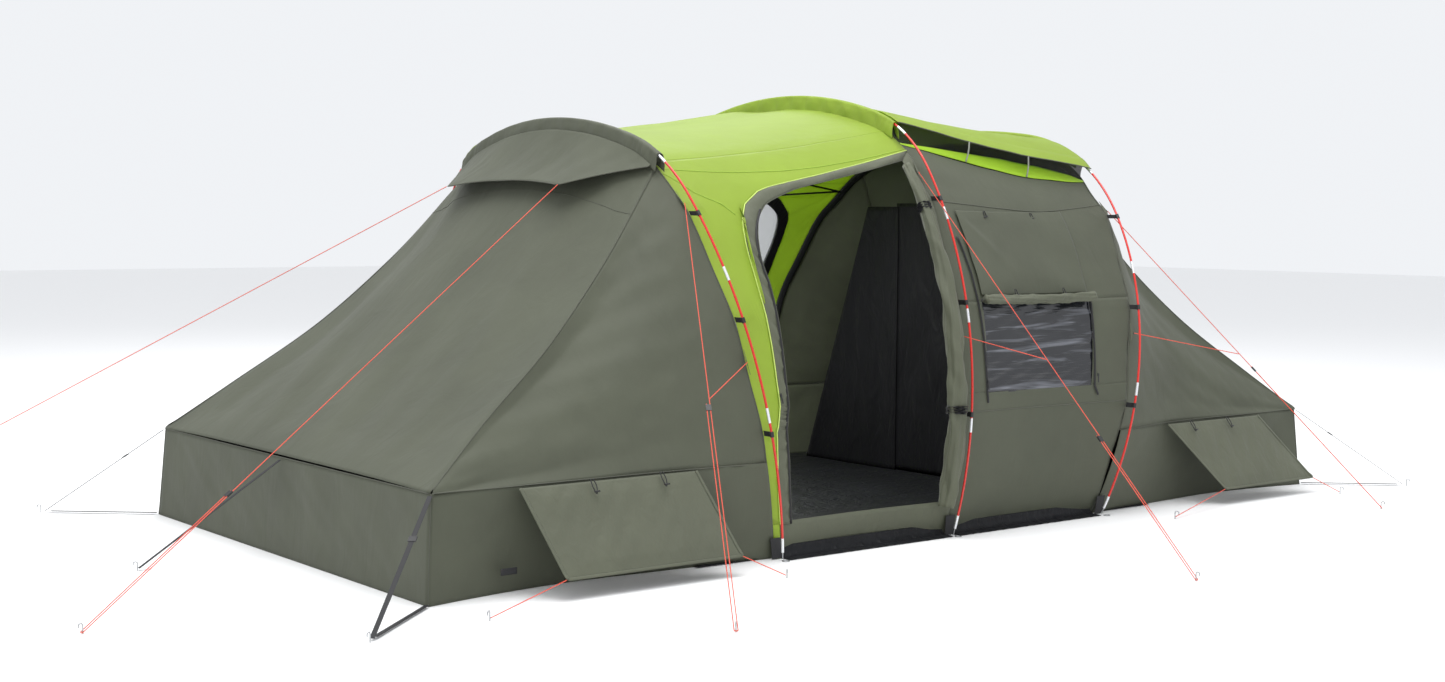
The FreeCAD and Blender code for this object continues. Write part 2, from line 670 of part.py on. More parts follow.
zips = []
for share in (window_left - 0.02, window_right + 0.02):
    zips += zip_track(RIGHT_BAY, -1, share, ("window_bottom", "window_top", "upper"), 4)
    zips += zip_track(LEFT_BAY, 1, 1 - share, ("window_bottom", "window_top", "upper"), 4)
zips += zip_track(LEFT_BAY, -1, near_jamb - 0.01, ("sill", "lower", "window_top"), 5)
add_piece("zips", zips)


def zip_pull(name, bay, side, share):
    """Slider and pull tab in front of the zip, near its lower end."""
    low = bundle_point(bay, side, share, "window_bottom", 6)
    high = bundle_point(bay, side, share, "window_top", 6)
    heading = (high - low).normalize()
    outward = Vector(0, side, 0)
    middle = low + heading * 45 + outward * 3.5
    across = heading.cross(outward).normalize()
    body = strap(middle, middle + heading * 14, across, 10, 4)
    tab = strap(middle - heading * size("zip_pull_length"), middle - heading * 0.2, across, 6, 2)
    add_piece(name, [body, tab])


zip_pull("left_window_zip_pull", RIGHT_BAY, -1, window_left - 0.02)
zip_pull("right_window_zip_pull", RIGHT_BAY, -1, window_right + 0.02)
zip_pull("front_door_zip_pull", LEFT_BAY, -1, near_jamb - 0.01)


# Mud skirt that lies on the ground outside the two long walls.
skirt = []
for _, side in SIDES:
    for bay in (LEFT_BAY, RIGHT_BAY):
        inner = bay_row(bay, side, "ground", (0.03, 0.97))
        inner = [Vector(point.x, point.y + side * 6, FABRIC) for point in inner]
        outer = [point + Vector(0, side * size("skirt_width"), 0) for point in inner]
        skirt += sheet_rows([inner, outer], FABRIC, Vector(inner[0].x, inner[0].y, -500))
add_piece("mud_skirt", skirt)


# ---------------------------------------------------------------- pegs, guy lines, runners

def hook_peg(point):
    """Steel peg above the ground, its end bent into a hook."""
    radius = size("peg_hook_radius")
    height = size("peg_height")
    away = Vector(point.x, point.y, 0)
    away = away.normalize() if away.Length else Vector(1, 0, 0)
    base = Vector(point.x, point.y, 0)
    top = base + UP * height
    middle = top + away * radius + UP * radius
    tip = top + away * (2 * radius)
    edges = [Part.makeLine(base, top), Part.Arc(top, middle, tip).toShape()]
    edges.append(Part.makeLine(tip, tip - UP * 6))
    return pipe(Part.Wire(edges), size("peg_radius"))


def ground(x, y):
    """Point on the ground."""
    return Vector(x, y, 0)


def peg_loop_radius():
    """Radius of a cord's centreline round a peg."""
    return size("peg_loop_radius")


def guy_frame(top, peg):
    """Directions of a guy line: down the line, and level across it."""
    heading = (peg + UP * size("cord_height") - top).normalize()
    return heading, heading.cross(UP).normalize()


def guy_cord(top, peg, runner_share):
    """Cord from its tab down to the peg, round it and back up to the runner."""
    radius = peg_loop_radius()
    heading, across = guy_frame(top, peg)
    centre = peg + UP * size("cord_height")
    down = centre - across * radius
    start = top - across * radius
    back = centre + across * radius
    stop = runner_point(top, peg, runner_share) + across * radius
    stop = stop - heading * (size("runner_length") / 2 + size("strand_past_runner"))
    bottom = centre + heading * radius
    edges = [Part.makeLine(start, down), Part.Arc(down, bottom, back).toShape(), Part.makeLine(back, stop)]
    return pipe(Part.Wire(edges), size("cord_radius"))


def runner_point(top, peg, share):
    """Middle of the runner between the two strands."""
    return blend(top, peg + UP * size("cord_height"), share)


def make_runner(label, top, peg, share):
    """Line tensioner: a small block with a hole for each strand."""
    heading, across = guy_frame(top, peg)
    normal = heading.cross(across)
    block = doc.addObject("Part::Box", label + "_block")
    block.setExpression("Length", "sizes.runner_length")
    block.setExpression("Width", "sizes.runner_width")
    block.setExpression("Height", "sizes.runner_thickness")
    holes = []
    for index, sign in enumerate(("-", "+")):
        hole = doc.addObject("Part::Cylinder", "%s_hole_%d" % (label, index))
        hole.setExpression("Radius", "sizes.cord_radius + sizes.runner_play")
        hole.setExpression("Height", "sizes.runner_length + 2")
        hole.Placement = Placement(Vector(-1, 0, 0), Rotation(UP, Vector(1, 0, 0)))
        hole.setExpression("Placement.Base.y", "sizes.runner_width / 2 %s sizes.peg_loop_radius" % sign)
        hole.setExpression("Placement.Base.z", "sizes.runner_thickness / 2")
        holes.append(hole)
    pair = doc.addObject("Part::Fuse", label + "_holes")
    pair.Base, pair.Tool = holes
    runner = doc.addObject("Part::Cut", label)
    runner.Base = block
    runner.Tool = pair
    runner.Label = label
    doc.recompute()
    turn = Rotation(heading, across, normal, "XYZ")
    middle = Vector(size("runner_length") / 2, size("runner_width") / 2, size("runner_thickness") / 2)
    runner.Placement = Placement(runner_point(top, peg, share) - turn.multVec(middle), turn)
    sub_parts.append(runner)


# Each guy line: hoop, tab height and tab's place beside the pole; peg on the ground; runner's place;
# height of the lower tab; where the branch joins.
GUYS = {
    "guy_left_front": (("left", 1555, -12), (-2114, -2380), 0.53, 868, 0.51),
    "guy_middle_front": (("middle", 1718, -26), (14, -2777), 0.69, 948, 0.50),
    "guy_right_front": (("right", 1538, 12), (2374, -2143), 0.535, 918, 0.485),
}
guy_pegs = []
for label, (tab, peg_xy, runner_share, lower_z, join_share) in GUYS.items():
    name, tab_z, tab_x = tab
    out = Vector(tab_x, -size("tab_reach"), 0)
    top = hoops[name].seam(-1, tab_z, INSET) + out
    lower = hoops[name].seam(-1, lower_z, INSET) + out
    peg = ground(*peg_xy)
    heading, across = guy_frame(top, peg)
    join = runner_point(top, peg, join_share) - across * peg_loop_radius()
    branch_end = join - (join - lower).normalize() * (2 * size("cord_radius") + 2)
    add_piece(label, [guy_cord(top, peg, runner_share), rod(lower, branch_end, size("cord_radius"))])
    make_runner(label + "_runner", top, peg, runner_share)
    guy_pegs.append(hook_peg(peg))

AWNING_GUYS = {
    "guy_awning_front": (-1, (-4005, -1026), 0.7405),
    "guy_awning_rear": (1, (-4300, 1855), 0.7405),
}
for label, (side, peg_xy, runner_share) in AWNING_GUYS.items():
    top = Vector(-size("awning_tip_x") - 6, side * size("awning_tip_y"), size("awning_tip_z"))
    peg = ground(*peg_xy)
    add_piece(label, [guy_cord(top, peg, runner_share)])
    make_runner(label + "_runner", top, peg, runner_share)
    guy_pegs.append(hook_peg(peg))
add_piece("guy_pegs", guy_pegs)


# ---------------------------------------------------------------- vent flaps on the skirts

def flap_edges(wing):
    """Hinge line ends and lower edge ends of a vent flap on the front side."""
    lead = "flap_" if wing < 0 else "right_flap_"
    inner = wing * size(lead + "inner_x")
    outer = wing * size(lead + "outer_x")
    shift = size(lead + "edge_shift")
    hinge_y = -size(lead + "hinge_y")
    hinge = [Vector(x, hinge_y, size("flap_hinge_z")) for x in (inner, outer)]
    edge = [Vector(point.x + shift, -size("flap_edge_y"), size("flap_edge_z")) for point in hinge]
    return hinge, edge


FLAP_PEGS = {"left": ((-1320, -1725), (-2734, -1699)), "right": ((1232, -1714), (2663, -1710))}
wing_pegs = []
flap_cords = []
for name, wing in WINGS:
    hinge, edge = flap_edges(wing)
    corners = [hinge[0], hinge[1], edge[1], edge[0]]
    label = name + "_vent_flap"
    add_piece(label, [slab(corners, FABRIC, Vector(hinge[0].x, 0, 0))])
    for corner, peg_xy in zip(edge, FLAP_PEGS[name]):
        peg = ground(*peg_xy)
        toward = (peg + UP * size("cord_height") - corner).normalize()
        radius = size("peg_radius") + size("cord_radius") + 0.3
        flap_cords.append(rod(corner + toward * 4, peg + UP * size("cord_height") - toward * radius,
                              size("cord_radius")))
        wing_pegs.append(hook_peg(peg))
add_piece("flap_cords", flap_cords)


# ---------------------------------------------------------------- corner and end wall straps

def buckle(label, point, heading, across):
    """Ladder-lock buckle: a plate with a slot that the webbing runs through."""
    normal = heading.cross(across)
    frame = doc.addObject("Part::Box", label + "_frame")
    frame.setExpression("Length", "sizes.buckle_length")
    frame.setExpression("Width", "sizes.buckle_width")
    frame.setExpression("Height", "sizes.buckle_thickness")
    slot = doc.addObject("Part::Box", label + "_slot")
    slot.setExpression("Length", "sizes.buckle_length + 2")
    slot.setExpression("Width", "sizes.strap_width + 2 * sizes.buckle_play")
    slot.setExpression("Height", "sizes.strap_thickness + 2 * sizes.buckle_play")
    slot.setExpression("Placement.Base.x", "-1")
    slot.setExpression("Placement.Base.y", "(sizes.buckle_width - sizes.strap_width) / 2 - sizes.buckle_play")
    slot.setExpression("Placement.Base.z",
                       "(sizes.buckle_thickness - sizes.strap_thickness) / 2 - sizes.buckle_play")
    lock = doc.addObject("Part::Cut", label)
    lock.Base = frame
    lock.Tool = slot
    lock.Label = label
    doc.recompute()
    turn = Rotation(heading, across, normal, "XYZ")
    middle = Vector(size("buckle_length") / 2, size("buckle_width") / 2, size("buckle_thickness") / 2)
    lock.Placement = Placement(point - turn.multVec(middle), turn)
    sub_parts.append(lock)


def flat_strap(start, end, across):
    """Webbing centred on the line between two points."""
    normal = (end - start).normalize().cross(across)
    lift = normal * (-size("strap_thickness") / 2)
    return strap(start + lift, end + lift, across, size("strap_width"), size("strap_thickness"))


wing_straps = []
for name, wing in WINGS:
    for side_name, side in SIDES:
        peg = ground(wing * size("corner_peg_x"), side * size("corner_peg_y"))
        hook = peg + UP * size("cord_height")
        outward = Vector(wing, side, 0).normalize()
        across = Vector(-wing, side, 0).normalize()
        upper = Vector(wing * size("wing_top_x"), side * size("wing_corner_y"), size("band_height") - 6)
        lower = Vector(wing * size("wing_length"), side * size("wing_foot_y"), size("cord_height"))
        upper = upper + outward * 12
        lower = lower + outward * 12
        end = hook - outward * 22
        heading = (end - upper).normalize()
        level = heading.cross(UP).normalize()
        wing_straps.append(flat_strap(upper, end, level))
        low_heading = (end - lower).normalize()
        wing_straps.append(flat_strap(lower, end - low_heading * 30, UP.cross(low_heading).normalize()))
        buckle("%s_%s_corner_buckle" % (name, side_name), blend(upper, end, size("buckle_place")),
               heading, level)
        wing_pegs.append(hook_peg(peg))
for name, wing in WINGS:
    start = Vector(wing * (size("wing_top_x") + 8), 0, size("band_height") - 12)
    peg = ground(wing * size("end_peg_x"), 0)
    end = peg + UP * size("cord_height") - Vector(wing * 6, 0, 0)
    wing_straps.append(flat_strap(start, end, Vector(0, 1, 0)))
    wing_pegs.append(hook_peg(peg))
add_piece("wing_straps", wing_straps)
add_piece("wing_pegs", wing_pegs)


# ---------------------------------------------------------------- checks and export

doc.recompute()
for item in doc.Objects:
    if "Invalid" in item.State or "Error" in item.State:
        raise RuntimeError("%s is %s" % (item.Label, item.State))
for piece in sub_parts:
    shape = piece.Shape
    if shape.isNull() or not shape.isValid() or shape.Volume <= 0:
        raise RuntimeError("%s has a bad shape" % piece.Label)

os.makedirs("parts", exist_ok=True)
for piece in sub_parts:
    piece.Shape.exportStep("parts/%s.step" % piece.Label)
    box = piece.Shape.BoundBox
    print("%-28s %3d solids  %8.1f cm3  x %7.1f %7.1f  y %7.1f %7.1f  z %6.1f %6.1f" % (
        piece.Label, len(piece.Shape.Solids), piece.Shape.Volume / 1000,
        box.XMin, box.XMax, box.YMin, box.YMax, box.ZMin, box.ZMax))
print("sub-parts:", len(sub_parts))
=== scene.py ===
"""A three-hoop tunnel tent with two sleeping wings: cloth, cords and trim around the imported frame.

Metres. +Z is up, +X runs along the tent and the front door faces -Y.
"""
import math
import bpy
import numpy as np
from mathutils import Euler, Matrix, Vector


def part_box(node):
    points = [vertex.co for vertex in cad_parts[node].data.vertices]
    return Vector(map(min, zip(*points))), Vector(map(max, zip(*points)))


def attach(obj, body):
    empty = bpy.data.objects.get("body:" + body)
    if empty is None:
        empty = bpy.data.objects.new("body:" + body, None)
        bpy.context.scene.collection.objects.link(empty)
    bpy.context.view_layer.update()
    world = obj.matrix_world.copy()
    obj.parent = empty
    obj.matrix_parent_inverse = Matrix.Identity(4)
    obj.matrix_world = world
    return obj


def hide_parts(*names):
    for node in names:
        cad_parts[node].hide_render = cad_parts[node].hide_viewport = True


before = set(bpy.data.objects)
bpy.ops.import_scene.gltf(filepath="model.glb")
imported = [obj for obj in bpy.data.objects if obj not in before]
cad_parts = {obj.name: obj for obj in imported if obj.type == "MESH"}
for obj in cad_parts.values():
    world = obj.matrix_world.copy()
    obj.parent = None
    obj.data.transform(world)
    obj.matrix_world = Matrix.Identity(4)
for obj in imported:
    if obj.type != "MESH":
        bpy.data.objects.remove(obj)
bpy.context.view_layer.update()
TENT = "tent"
UP = np.array([0.0, 0.0, 1.0])


# ---------------------------------------------------------------- camera

def make_camera(place, lens, pitch, yaw, roll):
    """Camera at eye height, off the front left corner. Angles in degrees: down, from +Y to +X, and tilt."""
    data = bpy.data.cameras.new("view")
    data.sensor_width = 36.0
    data.lens = lens
    data.clip_end = 200.0
    camera = bpy.data.objects.new("view", data)
    bpy.context.scene.collection.objects.link(camera)
    camera.location = place
    level = Euler((math.radians(90 - pitch), 0, math.radians(-yaw)), "XYZ").to_matrix()
    tilt = Matrix.Rotation(math.radians(roll), 3, "Z")
    camera.rotation_euler = (level @ tilt).to_euler()
    bpy.context.scene.camera = camera


make_camera(place=(-6.240, -7.532, 1.5), lens=46.108, pitch=3.872, yaw=38.203, roll=0.406)


# Heights of the seams on the walls, depth of the vent, half width of the roof strip, pole to seam.
SILL, LOWER_SEAM, WINDOW_LOW, WINDOW_HIGH, UPPER_SEAM = 0.15, 0.56, 0.67, 1.10, 1.54
VENT, ROOF_STRIP, INSET = 0.07, 0.40, 0.058


class Hoop:
    """Seam line of one hoop: crown, shoulder and leg arcs moved inwards from the pole by an inset."""

    def __init__(self, x, lean, height, crown, shoulder, leg, canopy):
        self.x, self.tilt, self.height = x, math.atan(lean), height
        self.crown_r, crown_angle = crown
        self.shoulder_r, shoulder_angle = shoulder
        self.leg_r = leg
        self.crown_end = math.radians(crown_angle)
        self.leg_start = self.crown_end + math.radians(shoulder_angle)
        self.crown_c = np.array([0.0, height - self.crown_r])
        reach = self.crown_r - self.shoulder_r
        self.shoulder_c = self.crown_c + reach * self.spoke(self.crown_end)
        reach = self.shoulder_r - self.leg_r
        self.leg_c = self.shoulder_c + reach * self.spoke(self.leg_start)
        heights = [0, SILL, LOWER_SEAM, WINDOW_LOW, WINDOW_HIGH, UPPER_SEAM, canopy - VENT, canopy]
        self.turns = [self.angle_at(z) for z in heights] + [math.asin(ROOF_STRIP / self.crown_r), 0.0]

    @staticmethod
    def spoke(angle):
        return np.array([math.sin(angle), math.cos(angle)])

    def flat(self, angle, inset):
        """Half profile (y, up) at a turn from the crown, moved inwards by inset. Arrays go in and out."""
        angle = np.asarray(angle, float)
        spokes = np.stack([np.sin(angle), np.cos(angle)], -1)
        crown = self.crown_c + (self.crown_r - inset)[..., None] * spokes
        shoulder = self.shoulder_c + (self.shoulder_r - inset)[..., None] * spokes
        leg = self.leg_c + (self.leg_r - inset)[..., None] * spokes
        out = np.where((angle < self.leg_start)[..., None], shoulder, leg)
        return np.where((angle < self.crown_end)[..., None], crown, out)

    def angle_at(self, z):
        """Turn at which the seam is at height z."""
        low, high = 0.0, 2.2
        for _ in range(40):
            middle = (low + high) / 2
            up = self.flat(middle, np.array(INSET))[1] * math.cos(self.tilt)
            low, high = (middle, high) if up > z else (low, middle)
        return low

    def point(self, side, angle, inset):
        """World points at turns from the crown."""
        inset = np.broadcast_to(np.asarray(inset, float), np.shape(angle))
        flat = self.flat(angle, inset)
        y, up = flat[..., 0], flat[..., 1]
        return np.stack([self.x + up * math.sin(self.tilt), side * y, up * math.cos(self.tilt)], -1)

    def level(self, side, level, inset):
        """World points at panel levels, 0 on the ground to 9 at the crown."""
        angle = np.interp(level, range(10), self.turns)
        return self.point(side, angle, inset)

    def across(self, turn, reach, inset):
        """World points over the crown: turns from -1 to 1 go from a reach on one side to the other."""
        return self.point(np.where(turn < 0, -1, 1), np.abs(turn) * reach, inset)


left_hoop = Hoop(-1.078, -0.152, 1.9733, (2.2512, 17.02), (0.7272, 36.88), 2.1171, 1.74)
middle_hoop = Hoop(-0.028, 0.063, 2.124, (2.3937, 17.22), (0.749, 36.69), 2.0332, 1.925)
right_hoop = Hoop(1.027, 0.206, 2.0217, (3.8019, 7.25), (1.0567, 47.32), 1.6667, 1.74)
LEFT_BAY = (left_hoop, middle_hoop)
RIGHT_BAY = (middle_hoop, right_hoop)
# Bay, side, and whether it is turned end for end.
DOOR_WALLS = ((LEFT_BAY, -1, False), (RIGHT_BAY, 1, True))
WINDOW_WALLS = ((RIGHT_BAY, -1, False), (LEFT_BAY, 1, True))


def bay_point(bay, side, share, level, out=0.0):
    """Points of a bay's wall or roof: share of the way between its hoops, and panel level."""
    share, level = np.broadcast_arrays(np.asarray(share, float), np.asarray(level, float))
    start = bay[0].level(side, level, INSET - out)
    end = bay[1].level(side, level, INSET - out)
    return start + (end - start) * share[..., None]


# ---------------------------------------------------------------- numbers on grids of points

def unit(vectors):
    """Vectors scaled to length one."""
    vectors = np.asarray(vectors, float)
    return vectors / np.maximum(np.linalg.norm(vectors, axis=-1, keepdims=True), 1e-9)


def smooth(points, count):
    """Smooth curve through points (along the first axis), resampled evenly along its length."""
    points = np.asarray(points, float)
    steps = np.linalg.norm(np.diff(points, axis=0), axis=-1)
    while steps.ndim > 1:
        steps = steps.mean(-1)
    knots = np.concatenate([[0], np.cumsum(steps)])
    slopes = np.gradient(points, knots, axis=0)
    where = np.linspace(0, 1, count) * knots[-1]
    index = np.clip(np.searchsorted(knots, where, side="right") - 1, 0, len(knots) - 2)
    gap = knots[index + 1] - knots[index]
    t = (where - knots[index]) / gap
    shape = (-1,) + (1,) * (points.ndim - 1)
    t, gap = t.reshape(shape), gap.reshape(shape)
    ahead = 3 * t ** 2 - 2 * t ** 3
    leave = (t ** 3 - 2 * t ** 2 + t) * gap
    arrive = (t ** 3 - t ** 2) * gap
    return ((1 - ahead) * points[index] + ahead * points[index + 1]
            + leave * slopes[index] + arrive * slopes[index + 1])


def normals_of(grid, inside=(0.0, 0.0, 0.6)):
    """Unit normals of a grid of points, turned away from a point inside."""
    normal = unit(np.cross(np.gradient(grid, axis=0), np.gradient(grid, axis=1)))
    facing = ((grid - np.array(inside)) * normal).sum()
    return -normal if facing < 0 else normal


def raised(grid, height, inside=(0.0, 0.0, 0.6)):
    """Grid moved along its normals by a height at each point."""
    return grid + normals_of(grid, inside) * height[..., None]


def ripple(grid, heading, wave, seed):
    """Soft folds that run along a heading, a wave apart: from about -1 to 1 at each point."""
    local = np.random.default_rng(seed)
    heading = unit(heading)
    height = np.zeros(grid.shape[:-1])
    for octave in range(4):
        side = unit(np.cross(heading, local.normal(size=3)))
        push = side + heading * local.normal() * 0.18
        bend = grid @ local.normal(size=3) * 0.9 / wave ** 0.5
        phase = grid @ push * (2 * math.pi / wave) * (1 + 0.6 * octave)
        wander = local.uniform(0, 6.28) + 1.3 * np.sin(bend + octave)
        height += np.sin(phase + wander) / (1 + 0.8 * octave)
    return height / 2.2


def crease(grid, start, end, width, depth):
    """Height of a narrow tension fold from start to end, where it fades."""
    start, end = np.array(start, float), np.array(end, float)
    run = end - start
    share = np.clip(((grid - start) @ run) / (run @ run), 0, 1)
    off = np.linalg.norm(grid - start - share[..., None] * run, axis=-1)
    return depth * np.exp(-(off / width) ** 2) * (1 - share) ** 0.7


def fan(grid, spot, toward, across, count, length, spread, seed, depth=0.006, width=0.018):
    """Folds that fan out from a point where the cloth is pulled, in the plane of toward and across."""
    local = np.random.default_rng(seed)
    spot, toward, across = np.array(spot, float), unit(toward), unit(across)
    height = np.zeros(grid.shape[:-1])
    for index in range(count):
        sway = (index / max(1, count - 1) - 0.5) * spread + local.normal() * spread * 0.06
        end = spot + (toward * math.cos(sway) + across * math.sin(sway)) * length * local.uniform(0.6, 1.2)
        sign = 1 if index % 2 == 0 else -0.7
        height += crease(grid, spot, end, width * local.uniform(0.7, 1.3), sign * depth)
    return height


# ---------------------------------------------------------------- materials

class Shade:
    """A node material built from textures in object space."""

    def __init__(self, name, inputs):
        self.material = bpy.data.materials.new(name)
        self.material.use_nodes = True
        self.tree = self.material.node_tree
        self.shader = self.tree.nodes["Principled BSDF"]
        for key, value in inputs.items():
            self.shader.inputs[key].default_value = value

    def add(self, kind, source=None, into="Vector", **values):
        """A node with its inputs or properties set, fed by a socket."""
        made = self.tree.nodes.new(kind)
        for key, value in values.items():
            if key in made.inputs:
                made.inputs[key].default_value = value
            else:
                setattr(made, key, value)
        if source is not None:
            self.tree.links.new(source, made.inputs[into])
        return made

    def feed(self, source, name):
        """Feeds a socket into the shader."""
        self.tree.links.new(source, self.shader.inputs[name])

    def stretched(self, scale=(1.0, 1.0, 1.0)):
        """Object space, scaled along each axis."""
        place = self.add("ShaderNodeTexCoord").outputs["Object"]
        return self.add("ShaderNodeMapping", place, Scale=scale).outputs["Vector"]

    def texture(self, kind, place=None, **values):
        """A texture's value, in object space unless another place is given."""
        if place is None:
            place = self.add("ShaderNodeTexCoord").outputs["Object"]
        return self.add("ShaderNodeTex" + kind, place, **values).outputs["Fac"]

    def tone(self, source, low, high, start=0.3, stop=0.72):
        """Base colour that goes from low to high as a value rises. Returns the colour."""
        ramp = self.add("ShaderNodeValToRGB", source, "Fac")
        for element, place, colour in zip(ramp.color_ramp.elements, (start, stop), (low, high)):
            element.position = place
            element.color = (*colour, 1)
        self.feed(ramp.outputs["Color"], "Base Color")
        return ramp.outputs["Color"]

    def relief(self, *layers):
        """Bumps from (value, strength, distance) layers, each on top of the one before."""
        normal = None
        for height, strength, distance in layers:
            bump = self.add("ShaderNodeBump", normal, "Normal", Strength=strength, Distance=distance)
            self.tree.links.new(height, bump.inputs["Height"])
            normal = bump.outputs["Normal"]
        self.feed(normal, "Normal")

    def mix(self, kind, share, colour=None):
        """Mixes a share of another shader in at the output."""
        other = self.add(kind, colour, "Color")
        blend = self.add("ShaderNodeMixShader", Fac=share)
        self.tree.links.new(self.shader.outputs["BSDF"], blend.inputs[1])
        self.tree.links.new(other.outputs["BSDF"], blend.inputs[2])
        self.tree.links.new(blend.outputs["Shader"], self.tree.nodes["Material Output"].inputs["Surface"])


def shades(colour, vary):
    """A darker and a lighter shade of a colour."""
    return [channel * (1 - vary) for channel in colour], [min(1, channel * (1 + vary)) for channel in colour]


def fabric(name, colour, rough=0.6, fold=7.0, fold_depth=0.3, light=0.0, vary=0.1, sheen=0.08, shine=0.5):
    """Coated tent cloth: ripstop weave, faint handling creases, uneven tone, and some light let through."""
    shade = Shade(name, {"Roughness": rough, "Specular IOR Level": shine, "Sheen Weight": sheen,
                         "Sheen Roughness": 0.5})
    patches = shade.texture("Noise", Scale=2.3, Detail=5.0, Roughness=0.6)
    tone = shade.tone(patches, *shades(colour, vary))
    weave = shade.add("ShaderNodeMath", operation="ADD")
    for index, axis in enumerate(("X", "Z")):
        threads = shade.texture("Wave", bands_direction=axis, Scale=160.0, Distortion=1.2)
        shade.tree.links.new(threads, weave.inputs[index])
    place = shade.stretched((1.0, 1.0, 0.4))
    crinkles = shade.texture("Noise", place, noise_type="RIDGED_MULTIFRACTAL", Scale=fold * 0.8, Detail=2.0,
                             Distortion=0.6)
    folds = shade.texture("Noise", place, Scale=fold, Detail=5.0, Roughness=0.5, Distortion=0.8)
    shade.relief((weave.outputs[0], 0.10, 0.0005), (crinkles, fold_depth * 0.7, 0.006),
                 (folds, fold_depth, 0.02))
    if light:
        shade.mix("ShaderNodeBsdfTranslucent", light, tone)
    return shade.material


def plain(name, colour, rough=0.5, metal=0.0, grain=60.0, depth=0.15, coat=0.0):
    """Plastic, metal or webbing with uneven tone, worn roughness and a fine grain."""
    shade = Shade(name, {"Metallic": metal, "Coat Weight": coat})
    specks = shade.texture("Noise", Scale=grain, Detail=6.0)
    shade.tone(specks, *shades(colour, 0.1))
    limits = {"To Min": max(0.05, rough - 0.1), "To Max": min(1, rough + 0.12)}
    worn = shade.add("ShaderNodeMapRange", specks, "Value", **limits)
    shade.feed(worn.outputs["Result"], "Roughness")
    shade.relief((specks, depth, 0.0008))
    return shade.material


def braid(name, low, high):
    """Braided cord: a fine herringbone of lighter and darker strands."""
    shade = Shade(name, {"Roughness": 0.62})
    strands = shade.texture("Wave", bands_direction="DIAGONAL", Scale=140.0, Distortion=2.0)
    shade.tone(strands, low, high)
    shade.relief((strands, 0.6, 0.0004))
    return shade.material


def netting(name, colour, clear):
    """Insect netting: threads, with the share of it that is gaps."""
    shade = Shade(name, {"Base Color": (*colour, 1), "Roughness": 0.8})
    threads = shade.texture("Noise", Scale=700.0, Detail=1.0)
    shade.relief((threads, 0.4, 0.0005))
    shade.mix("ShaderNodeBsdfTransparent", clear)
    return shade.material


def window_film(name):
    """Glossy clear film with shallow waves across it, painted dark for the shaded inside behind it and
    streaked with pale painted reflections.
    """
    shade = Shade(name, {"Roughness": 0.12, "Coat Weight": 0.35})
    waves_and_painted_reflections = shade.texture("Noise", shade.stretched((0.6, 0.6, 7.0)), Scale=3.2, Detail=3.0, Roughness=0.6,
                          Distortion=0.6)
    # Painted light: the dark end stands for the shaded inside seen through the film, the pale end for
    # reflections in its waves.
    shade.tone(waves_and_painted_reflections, (0.010, 0.011, 0.014), (0.20, 0.21, 0.24), 0.53, 0.74)
    shade.relief((waves_and_painted_reflections, 0.6, 0.02))
    return shade.material


olive = fabric("olive_cloth", (0.112, 0.122, 0.083), rough=0.66, light=0.30)
olive_trim = fabric("olive_trim", (0.112, 0.121, 0.080), rough=0.66, fold=16.0, fold_depth=0.35, light=0.15)
lime = fabric("lime_cloth", (0.45, 0.60, 0.072), rough=0.55, light=0.52, vary=0.05)
lime_lining = fabric("lime_lining", (0.40, 0.66, 0.02), light=0.2, vary=0.06)
black_cloth = fabric("black_cloth", (0.0055, 0.0055, 0.007), fold=12.0, fold_depth=0.6, vary=0.3,
                     sheen=0.02, shine=0.2)
black_sheet = fabric("black_sheet", (0.008, 0.0085, 0.0105), rough=0.45, fold=16.0, fold_depth=0.7, vary=0.3,
                     sheen=0.02, shine=0.2)
black_tape = plain("black_tape", (0.014, 0.014, 0.016), rough=0.62, grain=700.0, depth=0.5)
dark_seam = plain("seam_thread", (0.085, 0.09, 0.066), rough=0.7, grain=600.0, depth=0.4)
lime_seam = plain("lime_thread", (0.33, 0.50, 0.05), rough=0.7, grain=600.0, depth=0.4)
lime_edge = plain("lime_edging", (0.55, 0.70, 0.16), rough=0.5, grain=500.0, depth=0.3)
red_paint = plain("red_tube", (0.66, 0.017, 0.010), rough=0.30, grain=140.0, depth=0.04, coat=0.4)
bright_metal = plain("bright_metal", (0.84, 0.85, 0.87), rough=0.30, metal=0.6, grain=240.0, depth=0.06)
peg_steel = plain("peg_steel", (0.42, 0.43, 0.44), rough=0.34, metal=1.0, grain=320.0, depth=0.1)
moulded = plain("moulded_black", (0.016, 0.016, 0.017), rough=0.42, grain=380.0, depth=0.12)
red_braid = braid("red_braid", (0.55, 0.035, 0.02), (0.88, 0.15, 0.09))
grey_braid = braid("grey_braid", (0.20, 0.21, 0.18), (0.42, 0.43, 0.38))
black_net = netting("black_netting", (0.02, 0.02, 0.022), 0.3)
grey_net = netting("grey_netting", (0.55, 0.57, 0.60), 0.62)
film = window_film("clear_film")


# ---------------------------------------------------------------- making pieces

CLOTH = 0.0012
INSIDE = (0.0, 0.0, 0.5)


def mesh_object(name, points, faces):
    """Smooth-shaded object from points and faces."""
    mesh = bpy.data.meshes.new(name)
    mesh.from_pydata([tuple(map(float, point)) for point in points], [], [tuple(map(int, f)) for f in faces])
    mesh.polygons.foreach_set("use_smooth", [True] * len(mesh.polygons))
    mesh.update()
    obj = bpy.data.objects.new(name, mesh)
    bpy.context.scene.collection.objects.link(obj)
    return obj


def dress(obj, material, body=TENT, stands_for=()):
    """Gives a piece its material, slot and body, and hides the CAD nodes that it stands for."""
    obj.data.materials.append(material)
    if stands_for:
        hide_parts(*stands_for)
    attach(obj, body)
    return obj


